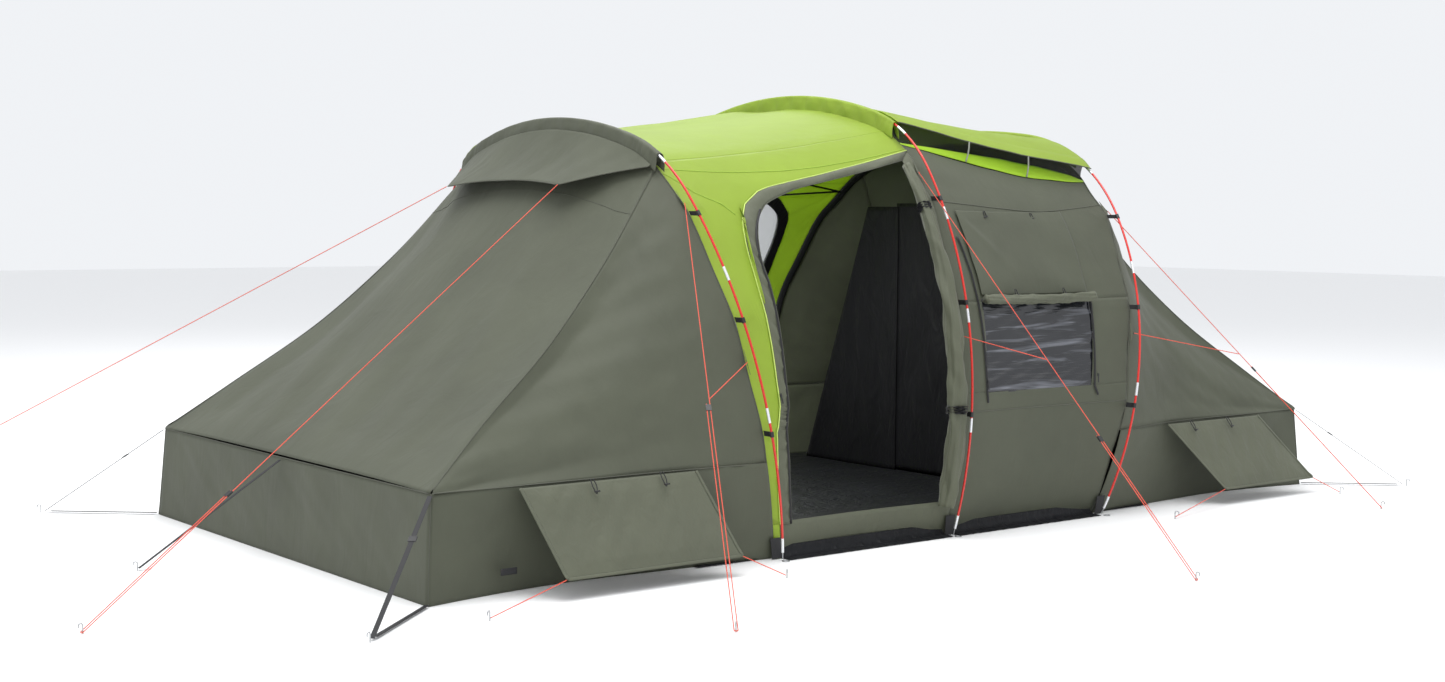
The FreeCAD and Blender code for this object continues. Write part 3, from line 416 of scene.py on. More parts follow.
def cloth_mesh(name, grids, thickness, inside):
    """Mesh of several grids of points, with a thickness towards a point inside."""
    points, faces, start = [], [], 0
    for grid in grids:
        rows, columns = grid.shape[:2]
        index = start + np.arange(rows * columns).reshape(rows, columns)
        quads = np.stack([index[:-1, :-1], index[1:, :-1], index[1:, 1:], index[:-1, 1:]], -1).reshape(-1, 4)
        middle = grid[rows // 2, columns // 2]
        down = grid[rows // 2 - 1, columns // 2] - middle
        back = grid[rows // 2, columns // 2 - 1] - middle
        if np.cross(down, back) @ (middle - np.array(inside)) < 0:
            quads = quads[:, ::-1]
        points.append(grid.reshape(-1, 3))
        faces.append(quads)
        start += rows * columns
    obj = mesh_object(name, np.concatenate(points), np.concatenate(faces))
    thick = obj.modifiers.new("thickness", "SOLIDIFY")
    thick.thickness = thickness
    thick.offset = -1
    return obj


def cloth(name, grids, material, stands_for=(), body=TENT,
          thickness=CLOTH, inside=INSIDE):
    """A sheet of tent cloth made of one or more grids."""
    obj = dress(cloth_mesh(name, grids, thickness, inside), material, body, stands_for)
    return obj


def tube_parts(path, radius, sides=8):
    """Points and faces of a round bar along points, with closed ends."""
    path = np.asarray(path, float)
    radius = np.broadcast_to(np.asarray(radius, float), (len(path),))
    heading = unit(np.gradient(path, axis=0))
    guide = np.array([0.13, 0.21, 0.97]) if abs(heading[0][2]) < 0.9 else np.array([0.97, 0.2, 0.1])
    side = unit(np.cross(heading[0], guide))
    turn = np.linspace(0, 2 * math.pi, sides, endpoint=False)[:, None]
    rings = []
    for index in range(len(path)):
        side = unit(side - heading[index] * (side @ heading[index]))
        other = np.cross(heading[index], side)
        rings.append(path[index] + radius[index] * (np.cos(turn) * side + np.sin(turn) * other))
    faces = []
    for ring in range(len(path) - 1):
        for k in range(sides):
            a, b = ring * sides + k, ring * sides + (k + 1) % sides
            faces.append((a, b, b + sides, a + sides))
    last = (len(path) - 1) * sides
    faces += [tuple(range(sides))[::-1], tuple(last + k for k in range(sides))]
    return np.concatenate(rings), faces


def joined(name, parts, material, body=TENT, stands_for=()):
    """One object from several (points, faces) pairs."""
    points, faces, start = [], [], 0
    for part_points, part_faces in parts:
        points.extend(part_points)
        faces.extend([tuple(index + start for index in face) for face in part_faces])
        start += len(part_points)
    return dress(mesh_object(name, points, faces), material, body, stands_for)


def tubes(name, paths, radius, material, body=TENT, stands_for=(), sides=8):
    """Round bars along paths, as one object."""
    return joined(name, [tube_parts(path, radius, sides) for path in paths], material, body, stands_for)


def ribbon(path, normal, width):
    """Grid of a flat tape along a path: four rows across its width, slightly crowned."""
    path = np.asarray(path, float)
    normal = np.broadcast_to(np.asarray(normal, float), path.shape)
    side = unit(np.cross(unit(np.gradient(path, axis=0)), normal))
    spread = np.array([-0.5, -0.17, 0.17, 0.5]) * width
    crown = np.array([0.0, 0.0008, 0.0008, 0.0])
    return path[None] + side[None] * spread[:, None, None] + normal[None] * crown[:, None, None]


def tapes(name, strips, material, body=TENT, stands_for=(), inside=INSIDE):
    """Flat tapes as one object: each strip is (path, normal, width)."""
    obj = cloth_mesh(name, [ribbon(*strip) for strip in strips], CLOTH, inside)
    return dress(obj, material, body, stands_for)


def paint(material, *names):
    """Gives CAD nodes a finished material."""
    for name in names:
        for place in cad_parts[name].material_slots:
            place.material = material


# ---------------------------------------------------------------- guy lines

# Radius of the cord and of its loop round a peg, the loop's height, and how far tabs stand off seams.
CORD_R, LOOP_R, PEG_CORD_Z, TAB_REACH = 0.002, 0.0072, 0.010, 0.014
PAST_RUNNER = 0.020


def nurbs(name, points, radius):
    """Curve object of one open spline with these control points."""
    data = bpy.data.curves.new(name, "CURVE")
    data.dimensions = "3D"
    data.bevel_depth = radius
    data.bevel_resolution = 3
    data.use_fill_caps = True
    spline = data.splines.new("NURBS")
    spline.points.add(len(points) - 1)
    for place, point in zip(spline.points, points):
        place.co = (*map(float, point), 1.0)
    spline.order_u = 3
    spline.use_endpoint_u = True
    spline.resolution_u = 8
    obj = bpy.data.objects.new(name, data)
    bpy.context.scene.collection.objects.link(obj)
    return obj


def cord(name, route, length, stands_for, **ends):
    """Free cord through control points; the length that it is given is not used."""
    line = nurbs(name, route, CORD_R)
    dress(line, red_braid, stands_for=[stands_for])


def straight_cord(name, start, end, stands_for):
    """Free cord straight from its exit to a knot."""
    length = np.linalg.norm(end - start)
    cord(name, [start, (start + end) / 2, end], length, stands_for, far_end="knot")


def seam_point(hoop, side, z):
    """Point of a hoop's seam at a height."""
    return hoop.point(side, hoop.angle_at(z), INSET)


def guy_line(node_name, top, peg_xy, runner_share, branch=None):
    """Cord from its tab down round the peg and back up to its runner, with a branch to a lower tab."""
    peg = np.array([*peg_xy, PEG_CORD_Z])
    heading = unit(peg - top)
    across = unit(np.cross(heading, UP))
    down, back = peg - across * LOOP_R, peg + across * LOOP_R
    runner = top + (peg - top) * runner_share
    start = top - across * LOOP_R
    end = runner + across * LOOP_R - heading * PAST_RUNNER
    straight = 6 * 2 * CORD_R
    route = [start, down - heading * straight, down, down + heading * LOOP_R,
             back + heading * LOOP_R, back, back - heading * straight, end]
    length = np.linalg.norm(down - start) + math.pi * LOOP_R + np.linalg.norm(back - end)
    cord(node_name + "_line", route, length, node_name, far_end="fitting",
         with_pieces=[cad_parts[node_name + "_runner"]])
    if branch:
        lower, join_share = branch
        join = top + (peg - top) * join_share - across * LOOP_R
        end = join - unit(join - lower) * (2 * CORD_R + 0.002)
        straight_cord(node_name + "_branch", lower, end, node_name)


# Hoop, upper tab's height and place beside the pole, peg, runner's share, lower tab's height, join's share.
FRONT_GUYS = {
    "guy_left_front": (left_hoop, 1.555, -0.012, (-2.114, -2.380), 0.53, 0.868, 0.51),
    "guy_middle_front": (middle_hoop, 1.718, -0.026, (0.014, -2.777), 0.69, 0.948, 0.50),
    "guy_right_front": (right_hoop, 1.538, 0.012, (2.374, -2.143), 0.535, 0.918, 0.485),
}
AWNING_GUYS = {
    "guy_awning_front": ((-1.659, -0.493, 1.634), (-4.005, -1.026), 0.7405),
    "guy_awning_rear": ((-1.659, 0.493, 1.634), (-4.300, 1.855), 0.7405),
}
tab_places = []
for name, (hoop, high, aside, peg_xy, runner_share, low, join_share) in FRONT_GUYS.items():
    reach = np.array([aside, -TAB_REACH, 0])
    top = seam_point(hoop, -1, high) + reach
    lower = seam_point(hoop, -1, low) + reach
    guy_line(name, top, peg_xy, runner_share, (lower, join_share))
    tab_places += [(hoop, high, top), (hoop, low, lower)]
for name, (top, peg_xy, runner_share) in AWNING_GUYS.items():
    guy_line(name, np.array(top), peg_xy, runner_share)


# ---------------------------------------------------------------- skins of the two bays

CLIP_HEIGHTS = {id(left_hoop): (0.56, 1.05, 1.51), id(right_hoop): (0.56, 1.05, 1.51),
                id(middle_hoop): (0.58, 1.10, 1.59)}
SEAM_DRAW = 0.016
CANOPY_LEVEL = 7.0
SAG_LEVELS, SAGS = (5, 7, 9), (0.020, 0.024, 0.038)


def scallop(hoop, z):
    """How far the seam draws in between clips."""
    marks = np.array((0.02,) + CLIP_HEIGHTS[id(hoop)] + (1.76,))
    index = np.clip(np.searchsorted(marks, z) - 1, 0, len(marks) - 2)
    share = np.clip((z - marks[index]) / (marks[index + 1] - marks[index]), 0, 1)
    return SEAM_DRAW * np.sin(math.pi * share) ** 2 * (z < marks[-1])


def bay_surface(bay, side, share, level, out=0.0, seed=3, pull=1.0):
    """Grid of a bay's skin with its sag, seams drawn in between the clips, and folds."""
    share, level = np.broadcast_arrays(np.asarray(share, float), np.asarray(level, float))
    grid = bay_point(bay, side, share, level, out)
    start, end = bay[0].level(side, level, INSET), bay[1].level(side, level, INSET)
    inner = np.clip(share, 0, 1)
    near, far = np.exp(-inner / 0.12), np.exp(-(1 - inner) / 0.12)
    height = -np.interp(level, SAG_LEVELS, SAGS) * np.sin(math.pi * inner)
    height -= scallop(bay[0], start[..., 2]) * near + scallop(bay[1], end[..., 2]) * far
    height += pull * 0.0016 * ripple(grid, (1, 0, 0.1), 0.16, seed) * (0.3 + near + far)
    height += pull * 0.0016 * ripple(grid, (0.5, 0, 1), 0.35, seed + 9)
    for hoop, heading in ((bay[0], 1), (bay[1], -1)):
        for z in CLIP_HEIGHTS[id(hoop)]:
            height += pull * fan(grid, seam_point(hoop, side, z), (heading, 0, 0), UP, 4, 0.30, 1.5,
                                 seed + int(z * 100), 0.0035, 0.013)
    return raised(grid, height)


def rectangle(low_share, high_share, low_level, high_level, columns, rows):
    """Shares and levels of an even grid."""
    return np.meshgrid(np.linspace(low_share, high_share, columns), np.linspace(low_level, high_level, rows))


def rings_between(inner, outer, count):
    """Shares and levels of rings between two outlines with matching points."""
    step = np.linspace(0, 1, count)[:, None, None]
    both = inner[None] * (1 - step) + outer[None] * step
    return both[..., 0], both[..., 1]


# Metres that one whole share and one level come to on a wall, about.
SPANS = np.array([1.05, 0.25])


def band_round(line, half_width=0.004):
    """Three close rows of shares and levels along a line on a wall, the middle one on it."""
    run = unit(np.gradient(line, axis=0) * SPANS)
    across = np.stack([-run[:, 1], run[:, 0]], -1) / SPANS * half_width
    rows = line[None] + np.array([-1, 0, 1])[:, None, None] * across[None]
    return rows[..., 0], rows[..., 1]


# The doorway's edge and the piping round it, as (share of the bay, level), from the sill up and over.
DOORWAY = [(0.100, 1.0), (0.107, 1.6), (0.125, 2.4), (0.150, 3.1), (0.178, 3.7), (0.200, 4.2),
           (0.206, 4.5), (0.235, 4.75), (0.290, 4.98), (0.380, 5.15), (0.500, 5.27), (0.700, 5.42),
           (0.955, 5.60)]
PIPING = [(0.038, 1.0), (0.047, 1.6), (0.078, 2.3), (0.107, 3.1), (0.133, 3.8), (0.150, 4.3),
          (0.172, 4.68), (0.208, 4.93), (0.275, 5.16), (0.370, 5.36), (0.500, 5.48), (0.700, 5.62),
          (1.0, 5.82)]
JAMB = 0.955
SIDE_POINTS, TOP_POINTS = 56, 64


def outlines():
    """Doorway, piping and the bay's own edge as matching rows of points."""
    count = SIDE_POINTS + TOP_POINTS
    doorway, piping = smooth(DOORWAY, count), smooth(PIPING, count)
    side = np.stack([np.zeros(SIDE_POINTS), np.linspace(1.0, CANOPY_LEVEL, SIDE_POINTS)], -1)
    top = np.stack([np.linspace(0, 1, TOP_POINTS + 1)[1:], np.full(TOP_POINTS, CANOPY_LEVEL)], -1)
    return doorway, piping, np.concatenate([side, top])


def mirrored(outline, flip):
    """Outline turned end for end where the door is on the far bay."""
    return np.stack([1 - outline[:, 0], outline[:, 1]], -1) if flip else outline


def door_front(bay, side, flip):
    """Grids of a door wall: lime surround, its foot, wrinkled border, sill and jamb; and two edge lines."""
    doorway, piping, edge = (mirrored(outline, flip) for outline in outlines())
    lime_part = bay_surface(bay, side, *rings_between(piping, edge, 26))
    low, high = sorted((edge[0, 0], piping[0, 0]))
    foot = bay_surface(bay, side, *rectangle(low, high, 0.01, 1.0, 6, 8))
    border = bay_surface(bay, side, *rings_between(doorway, piping, 9), out=0.003)
    across = np.linspace(0, 1, 9)[:, None]
    run = np.linspace(0, 1, border.shape[1])[None]
    puff = 0.008 * np.sin(math.pi * across) ** 0.8
    crimp = 0.0045 * np.sin(run * 150 + 2.2 * np.sin(run * 37)) + 0.0025 * np.sin(run * 330 + across * 3)
    border = raised(border, puff + crimp * np.sin(math.pi * across))
    low, high = sorted((piping[0, 0], 1.0 - edge[0, 0]))
    sill = bay_surface(bay, side, *rectangle(low, high, 0.01, 1.03, 70, 10), out=0.002, seed=5)
    low, high = sorted((mirrored(np.array([[JAMB, 1.0]]), flip)[0, 0], 1.0 - edge[0, 0]))
    jamb = bay_surface(bay, side, *rectangle(low, high, 1.0, 5.78, 7, 70), out=0.001)
    line = bay_surface(bay, side, *band_round(piping), out=0.004)[1]
    edge_line = bay_surface(bay, side, *band_round(doorway), out=0.004)[1]
    return lime_part, foot, border, sill, jamb, line, edge_line


# A vented roof passes over the poles and ends in a hem that stands off the wall.
VENT_RISE, VENT_BULGE, VENT_EDGE = 0.077, 0.014, 0.019
VENT_HEM = [(0.0, 6.56), (0.30, 6.40), (0.62, 6.33), (1.0, 6.50)]


def vent_ramp(level):
    """Share of its full rise that a vented roof has reached at a level."""
    near = np.clip((8.75 - level) / 1.45, 0, 1)
    return near ** 2 * (3 - 2 * near)


def vent_rise(share, level):
    """How far a vented roof stands off its seams."""
    return vent_ramp(level) * (VENT_RISE + VENT_BULGE * np.sin(math.pi * np.clip(share, 0, 1)) ** 0.6)


def inner_border(bay, side, flip):
    """Wide black tape round the inside of a doorway."""
    doorway, piping, _ = (mirrored(outline, flip) for outline in outlines())
    return bay_surface(bay, side, *rings_between(doorway, piping, 7), out=-0.012)


def roof_over(bay, vented):
    """Roof of a bay from one canopy seam over the crowns to the other; the vented half stands off."""
    shares, turn = rectangle(0, 1, 0, 1, 70, 56)
    levels = CANOPY_LEVEL + 2 * turn
    halves = []
    for side in (-1, 1):
        if side == vented:
            edge = VENT_EDGE * (1 - vent_ramp(levels))
            inner = edge + (1 - 2 * edge) * shares
            halves.append(bay_surface(bay, side, inner, levels, out=vent_rise(inner, levels)))
        else:
            halves.append(bay_surface(bay, side, shares, levels))
    return np.concatenate([halves[0], halves[1][-2::-1]])


front, rear = (door_front(*wall) for wall in DOOR_WALLS)
roof_grids = [roof_over(LEFT_BAY, 1), roof_over(RIGHT_BAY, -1)]
for lime_part, foot, *_ in (front, rear):
    roof_grids += [lime_part, foot]
cloth("roof_skin", roof_grids, lime, ["roof"])
for name, wall in (("front_door", front), ("rear_door", rear)):
    cloth(name + "_frame", wall[2:5], olive_trim, [name + "_surround"])
cloth("rear_door_inner_border", [inner_border(*DOOR_WALLS[1])], black_cloth)
tubes("door_piping", [front[5], rear[5]], 0.0028, lime_edge)
tubes("doorway_binding", [front[6], rear[6]], 0.0022, dark_seam)


def door_net(bay, side, flip):
    """Netting that fills a doorway, from its edge in to a middle line."""
    doorway, _, _ = outlines()
    top = doorway[-1]
    right = np.stack([np.full(40, JAMB), np.linspace(top[1], 1.0, 41)[1:]], -1)
    bottom = np.stack([np.linspace(JAMB, doorway[0, 0], 30)[1:], np.full(29, 1.0)], -1)
    loop = mirrored(np.concatenate([doorway, right, bottom]), flip)
    centre = np.repeat(mirrored(np.array([[0.56, 3.2]]), flip), len(loop), axis=0)
    return bay_surface(bay, side, *rings_between(centre * 0.97 + loop * 0.03, loop, 16), out=-0.004)


cloth("rear_door_net", [door_net(*DOOR_WALLS[1])], grey_net, ["rear_door_mesh"])

# Window walls: shares of the window's edges, and the top edge under the vent.
WINDOW_LEFT, WINDOW_RIGHT = 0.145, 0.775
LIP = [(0.0, 6.0), (0.29, 5.97), (0.50, 5.92), (0.63, 5.90), (0.85, 6.05), (1.0, 6.35)]


def limits(left, right, flip):
    """Shares of two upright edges, turned end for end where the wall is."""
    return (1 - right, 1 - left) if flip else (left, right)


def window_front(bay, side, flip):
    """Grids of a window wall: below, beside and above the window; and the shares and levels of its lip."""
    left, right = limits(WINDOW_LEFT, WINDOW_RIGHT, flip)
    grids = [bay_surface(bay, side, *rectangle(0, 1, 0.01, 3, 70, 46)),
             bay_surface(bay, side, *rectangle(0, left, 3, 4, 12, 30)),
             bay_surface(bay, side, *rectangle(right, 1, 3, 4, 14, 30))]
    top = mirrored(smooth(LIP, 70), flip)
    top = top[np.argsort(top[:, 0])]
    shares, turn = rectangle(0, 1, 0, 1, 70, 50)
    high = np.interp(shares[0], top[:, 0], top[:, 1])
    grids.append(bay_surface(bay, side, shares, 4 + (high - 4) * turn))
    return grids, shares[0], high


def vent_net(bay, side, shares, high):
    """Netting behind the canopy, from the lip to the roof."""
    turn = np.linspace(0, 1, 10)[:, None]
    levels = high * (1 - turn) + CANOPY_LEVEL * turn
    out = -0.008 + (vent_rise(shares, CANOPY_LEVEL)[None] - 0.004) * turn ** 3
    return bay_surface(bay, side, np.repeat(shares[None], 10, 0), levels, out=out)


def vent_lip(bay, side, shares, high):
    """Lime strip that stands up from the wall's top edge and leans out, widest past the middle."""
    turn = np.linspace(0, 1, 8)[:, None]
    far = shares if bay is RIGHT_BAY else 1 - shares
    top = np.interp(far, [0, 0.3, 0.57, 0.75, 0.93, 1], [6.1, 6.22, 6.50, 6.62, 6.62, 6.45])
    lean = 0.003 + 0.026 * turn * np.sin(math.pi * np.clip(shares, 0.01, 0.99))[None]
    levels = high + (np.maximum(top, high) - high) * turn
    return bay_surface(bay, side, np.repeat(shares[None], 8, 0), levels, out=lean)


def vent_canopy(bay, side):
    """Roof hem that stands out over the vent. Its last row is the edge."""
    shares, turn = rectangle(0, 1, 0, 1, 60, 12)
    far = shares if bay is RIGHT_BAY else 1 - shares
    hem = np.interp(far, *zip(*VENT_HEM))
    levels = 7.06 * (1 - turn) + hem * turn
    return bay_surface(bay, side, shares, levels, out=vent_rise(shares, levels) + 0.0015)


window_grids, nets, lips, canopies, ties = [], [], [], [], []
for bay, side, flip in WINDOW_WALLS:
    grids, shares, high = window_front(bay, side, flip)
    window_grids.append(grids)
    nets.append(vent_net(bay, side, shares, high))
    lips.append(vent_lip(bay, side, shares, high))
    canopies.append(vent_canopy(bay, side))
    for share in (0.34, 0.66):
        high_end, low_end = canopies[-1][-1][int(share * 59)], lips[-1][0][int(share * 69)]
        bow = (high_end + low_end) / 2 + np.array([0, side * 0.006, 0])
        ties.append(smooth([high_end, bow, low_end], 8))
cloth("front_window_wall_skin", window_grids[0], olive, ["front_window_wall"])
cloth("rear_window_wall_skin", window_grids[1], olive, ["rear_window_wall"])
cloth("vent_netting", nets, black_net, ["vent_meshes"])
cloth("vent_lips", lips, lime_lining)
cloth("vent_canopy_hems", canopies, lime, ["vent_canopies"])
tubes("vent_hem_binding", [canopy[-1] for canopy in canopies], 0.003, dark_seam)
tubes("vent_ties", ties, 0.004, grey_braid)


def pane(bay, side, flip):
    """Window film with horizontal waves."""
    left, right = limits(WINDOW_LEFT, WINDOW_RIGHT, flip)
    shares, levels = rectangle(left - 0.004, right + 0.004, 2.96, 4.03, 90, 80)
    grid = bay_surface(bay, side, shares, levels, out=-0.002, pull=0)
    wave = 0.0025 * ripple(grid, (1, 0, 0.12), 0.11, 77) + 0.004 * ripple(grid, (1, 0, -0.1), 0.24, 78)
    return raised(grid, wave)


cloth("window_film", [pane(*wall) for wall in WINDOW_WALLS], film, ["window_panes"])


def cover(bay, side, flip):
    """Window cover: a loose panel from the upper seam to its rolled lower edge."""
    ahead = -1 if flip else 1
    shares, levels = rectangle(*limits(0.105, 0.72, flip), 4.06, 4.98, 70, 60)
    shares = shares + ahead * (0.035 * (4.98 - levels) / 0.92)
    grid = bay_surface(bay, side, shares, levels, out=0.010)
    corner = grid[-1, -1] if flip else grid[-1, 0]
    folds = 0.006 * ripple(grid, (ahead, 0, -0.75), 0.42, 91)
    folds += fan(grid, corner, grid[0, 35] - corner, UP, 5, 0.5, 0.9, 17, 0.006, 0.022)
    edge = np.minimum(np.linspace(0, 1, 60)[:, None], np.linspace(1, 0, 60)[:, None]) * 6
    return raised(grid, folds * np.clip(edge, 0, 1) + 0.002)


cloth("window_cover_panels", [cover(*wall) for wall in WINDOW_WALLS], olive, thickness=0.002)


def wall_line(bay, side, points, flip, out=0.005, count=60):
    """Path that lies on a wall through (share, level) points, with the wall's normals."""
    line = mirrored(smooth(points, count), flip)
    rows = bay_surface(bay, side, *band_round(line), out=out)
    return rows[1], normals_of(rows)[1]


# Zip tapes of a window cover and of a door, as (share, level).
COVER_ZIPS = ([(0.080, 4.69), (0.096, 4.49), (0.114, 4.05), (0.140, 3.0), (0.147, 2.55)],
              [(0.770, 3.98), (0.779, 3.45), (0.790, 3.01), (0.817, 2.55)])
DOOR_ZIP = [(share - 0.010, level) for share, level in DOORWAY[:9]]
zips = []
for bay, side, flip in WINDOW_WALLS:
    zips += [(*wall_line(bay, side, line, flip, out=0.007), 0.012) for line in COVER_ZIPS]
for bay, side, flip in DOOR_WALLS:
    zips.append((*wall_line(bay, side, DOOR_ZIP, flip, out=0.013), 0.010))
tapes("zip_tapes", zips, black_tape, stands_for=["zips"])
tubes("zip_teeth", [path + normal * 0.0008 for path, normal, _ in zips], 0.0016, moulded)


LOOP_HALF = np.array([0.007, 0, 0])


def hanging_loop(bay, side, share, level, off_wall, drop=0.040):
    """Elastic loop that hangs off a wall, and the toggle through it: their paths."""
    top = bay_surface(bay, side, *band_round(np.array([[share, level], [share, level - 0.02]])),
                      out=off_wall)[1, 0]
    out, over = np.array([0, side * 0.010, 0]), LOOP_HALF
    loop = smooth([top - over * 0.6, top - over + out - UP * drop * 0.6, top + out - UP * drop,
                   top + over + out - UP * drop * 0.6, top + over * 0.6], 20)
    bar = top + out * 1.4 - UP * drop * 0.72
    return loop, np.array([bar - np.array([0.012, 0, 0.004]), bar, bar + np.array([0.012, 0, 0.004])])


# Share, level and distance off the wall: two at the upper seam, two round the rolled cover.
LOOP_SPOTS = ((0.27, 4.98, 0.016), (0.54, 4.96, 0.016), (0.31, 4.10, 0.040), (0.59, 4.10, 0.040))
loops, bars = [], []
for bay, side, flip in WINDOW_WALLS:
    for share, level, off_wall in LOOP_SPOTS:
        loop, bar = hanging_loop(bay, side, 1 - share if flip else share, level, off_wall)
        loops.append(loop)
        bars.append(bar)
tubes("toggle_loops", loops, 0.0022, black_tape, stands_for=["toggles"])
tubes("toggle_bars", bars, 0.0036, moulded)


def cloth_roll(path, radius, seed, turns=3.0):
    """Rolled-up cloth along a path: a soft bar with ridges that wind round it."""
    path = smooth(path, 90)
    points, faces = tube_parts(path, radius, 28)
    rings = points.reshape(len(path), 28, 3)
    turn = np.linspace(0, 2 * math.pi, 28, endpoint=False)[None]
    run = np.linspace(0, 1, len(path))[:, None]
    local = np.random.default_rng(seed)
    swell = 0.13 * np.sin(3 * turn + turns * 6.3 * run + local.uniform(0, 6))
    swell = swell + 0.09 * np.sin(7 * turn - 14 * run) + 0.08 * np.sin(40 * run + 2 * turn)
    swell = swell + 0.05 * np.sin(71 * run + 3 * turn + 2 * np.sin(17 * run))
    rings = path[:, None] + (rings - path[:, None]) * (1 + swell)[..., None]
    return rings.reshape(-1, 3), faces


ROLL_R, ROLL_SHARE, ROLL_TIES = 0.044, 0.93, (0.28, 0.86)
roll_ties = []
for name, bay, side, share in (("front_door_roll", LEFT_BAY, -1, ROLL_SHARE),
                               ("rear_door_roll", RIGHT_BAY, 1, 1 - ROLL_SHARE)):
    levels = np.array([1.0, 1.6, 2.4, 3.2, 4.0, 4.6, 5.0, 5.3, 5.5])
    line = bay_point(bay, side, np.full(9, share), levels) + np.array([0, side * (ROLL_R + 0.002), 0])
    thick = np.interp(np.linspace(0, 1, 90), [0, 0.06, 0.5, 0.93, 1], [0.8, 0.95, 0.9, 0.55, 0.4]) * ROLL_R
    spine = smooth(line, 90)
    for place in ROLL_TIES:
        middle = int(place * 89)
        roll_ties.append(cloth_roll(spine[middle - 1:middle + 2], thick[middle] * 1.09, 5))
    joined(name + "_cloth", [cloth_roll(line, thick, 5)], olive_trim, stands_for=[name])
joined("door_roll_ties", roll_ties, black_tape)
roll_parts = []
for bay, side, left, right in ((RIGHT_BAY, -1, 0.135, 0.765), (LEFT_BAY, 1, 0.235, 0.865)):
    shares = np.linspace(left, right, 5)
    line = bay_point(bay, side, shares, np.full(5, 4.02)) + np.array([0, side * 0.028, 0])
    line[1:-1] += UP * -0.004
    roll_parts.append(cloth_roll(line, 0.022, 9, turns=1.0))
joined("window_cover_roll_cloth", roll_parts, olive_trim, stands_for=["window_cover_rolls"])


# ---------------------------------------------------------------- wings

BAND_Z, FOOT_Z = 0.43, 0.001
END_TOP_X, END_FOOT_X, CORNER_Y, FOOT_Y = 2.770, 2.800, 1.326, 1.353
HOOD_SIDE_Y, WING_GAP = 0.820, 0.004
# Sections: x; foot y; band y; side y, z; hip y, z; roof y, z; ridge z.
WING_SECTIONS = [
    (1.740, 1.290, 1.345, 1.240, 0.850, 0.950, 1.256, 0.480, 1.420, 1.458),
    (2.040, 1.268, 1.342, 1.250, 0.700, 1.050, 0.974, 0.530, 1.105, 1.140),
    (2.480, 1.300, 1.336, 1.290, 0.540, 1.200, 0.651, 0.600, 0.690, 0.702),
]
SIDE_ROWS, ROOF_ROWS, LENGTH_COLUMNS = 46, 61, 110


def inside_wing(wing):
    """A point inside a wing."""
    return wing * 1.6, 0.0, 0.2


def wing_hoop(wing):
    """The outer hoop that a wing starts from."""
    return left_hoop if wing < 0 else right_hoop


def wing_side(wing, side):
    """Grid from the band up to the hip line: rows of height, columns along the wing."""
    hoop = wing_hoop(wing)
    turns = np.interp(np.linspace(0, 1, SIDE_ROWS), [0, 0.5, 1],
                      [hoop.angle_at(BAND_Z), hoop.angle_at(WINDOW_HIGH), hip_turn(hoop)])
    columns = [hoop.point(side, turns, INSET) + np.array([wing * WING_GAP, 0, 0])]
    for x, _, band_y, side_y, side_z, hip_y, hip_z, *_ in WING_SECTIONS:
        knots = [(wing * x, side * y, z) for y, z in ((band_y, BAND_Z), (side_y, side_z), (hip_y, hip_z))]
        columns.append(smooth(knots, SIDE_ROWS))
    corner = np.array([wing * END_TOP_X, side * CORNER_Y, BAND_Z])
    columns.append(corner + UP * np.linspace(0, 0.006, SIDE_ROWS)[:, None])
    return np.swapaxes(smooth(np.array(columns), LENGTH_COLUMNS), 0, 1)


def hip_turn(hoop):
    """Turn from the crown at which the hood ends and the hip line starts."""
    turns = np.linspace(0, 1.2, 400)
    return float(np.interp(HOOD_SIDE_Y, hoop.point(1, turns, INSET)[:, 1], turns))


def wing_roof(wing):
    """Grid over the wing from hip to hip."""
    hoop = wing_hoop(wing)
    turn = np.linspace(-1, 1, ROOF_ROWS)
    columns = [hoop.across(turn, hip_turn(hoop), INSET) + np.array([wing * WING_GAP, 0, 0])]
    for x, _, _, _, _, hip_y, hip_z, roof_y, roof_z, ridge_z in WING_SECTIONS:
        knots = [(wing * x, y, z) for y, z in ((-hip_y, hip_z), (-roof_y, roof_z), (0, ridge_z),
                                               (roof_y, roof_z), (hip_y, hip_z))]
        columns.append(smooth(knots, ROOF_ROWS))
    end_z = BAND_Z + 0.010 * (1 - turn ** 4)
    columns.append(np.stack([np.full(ROOF_ROWS, wing * END_TOP_X), turn * CORNER_Y, end_z], -1))
    return np.swapaxes(smooth(np.array(columns), LENGTH_COLUMNS), 0, 1)


def edge_fade(rows, columns, reach=0.12):
    """Weight that is 1 inside a grid and falls to 0 on all its edges."""
    down, over = np.linspace(0, 1, rows)[:, None], np.linspace(0, 1, columns)[None]
    return np.clip(np.minimum(np.minimum(down, 1 - down), np.minimum(over, 1 - over)) / reach, 0, 1)


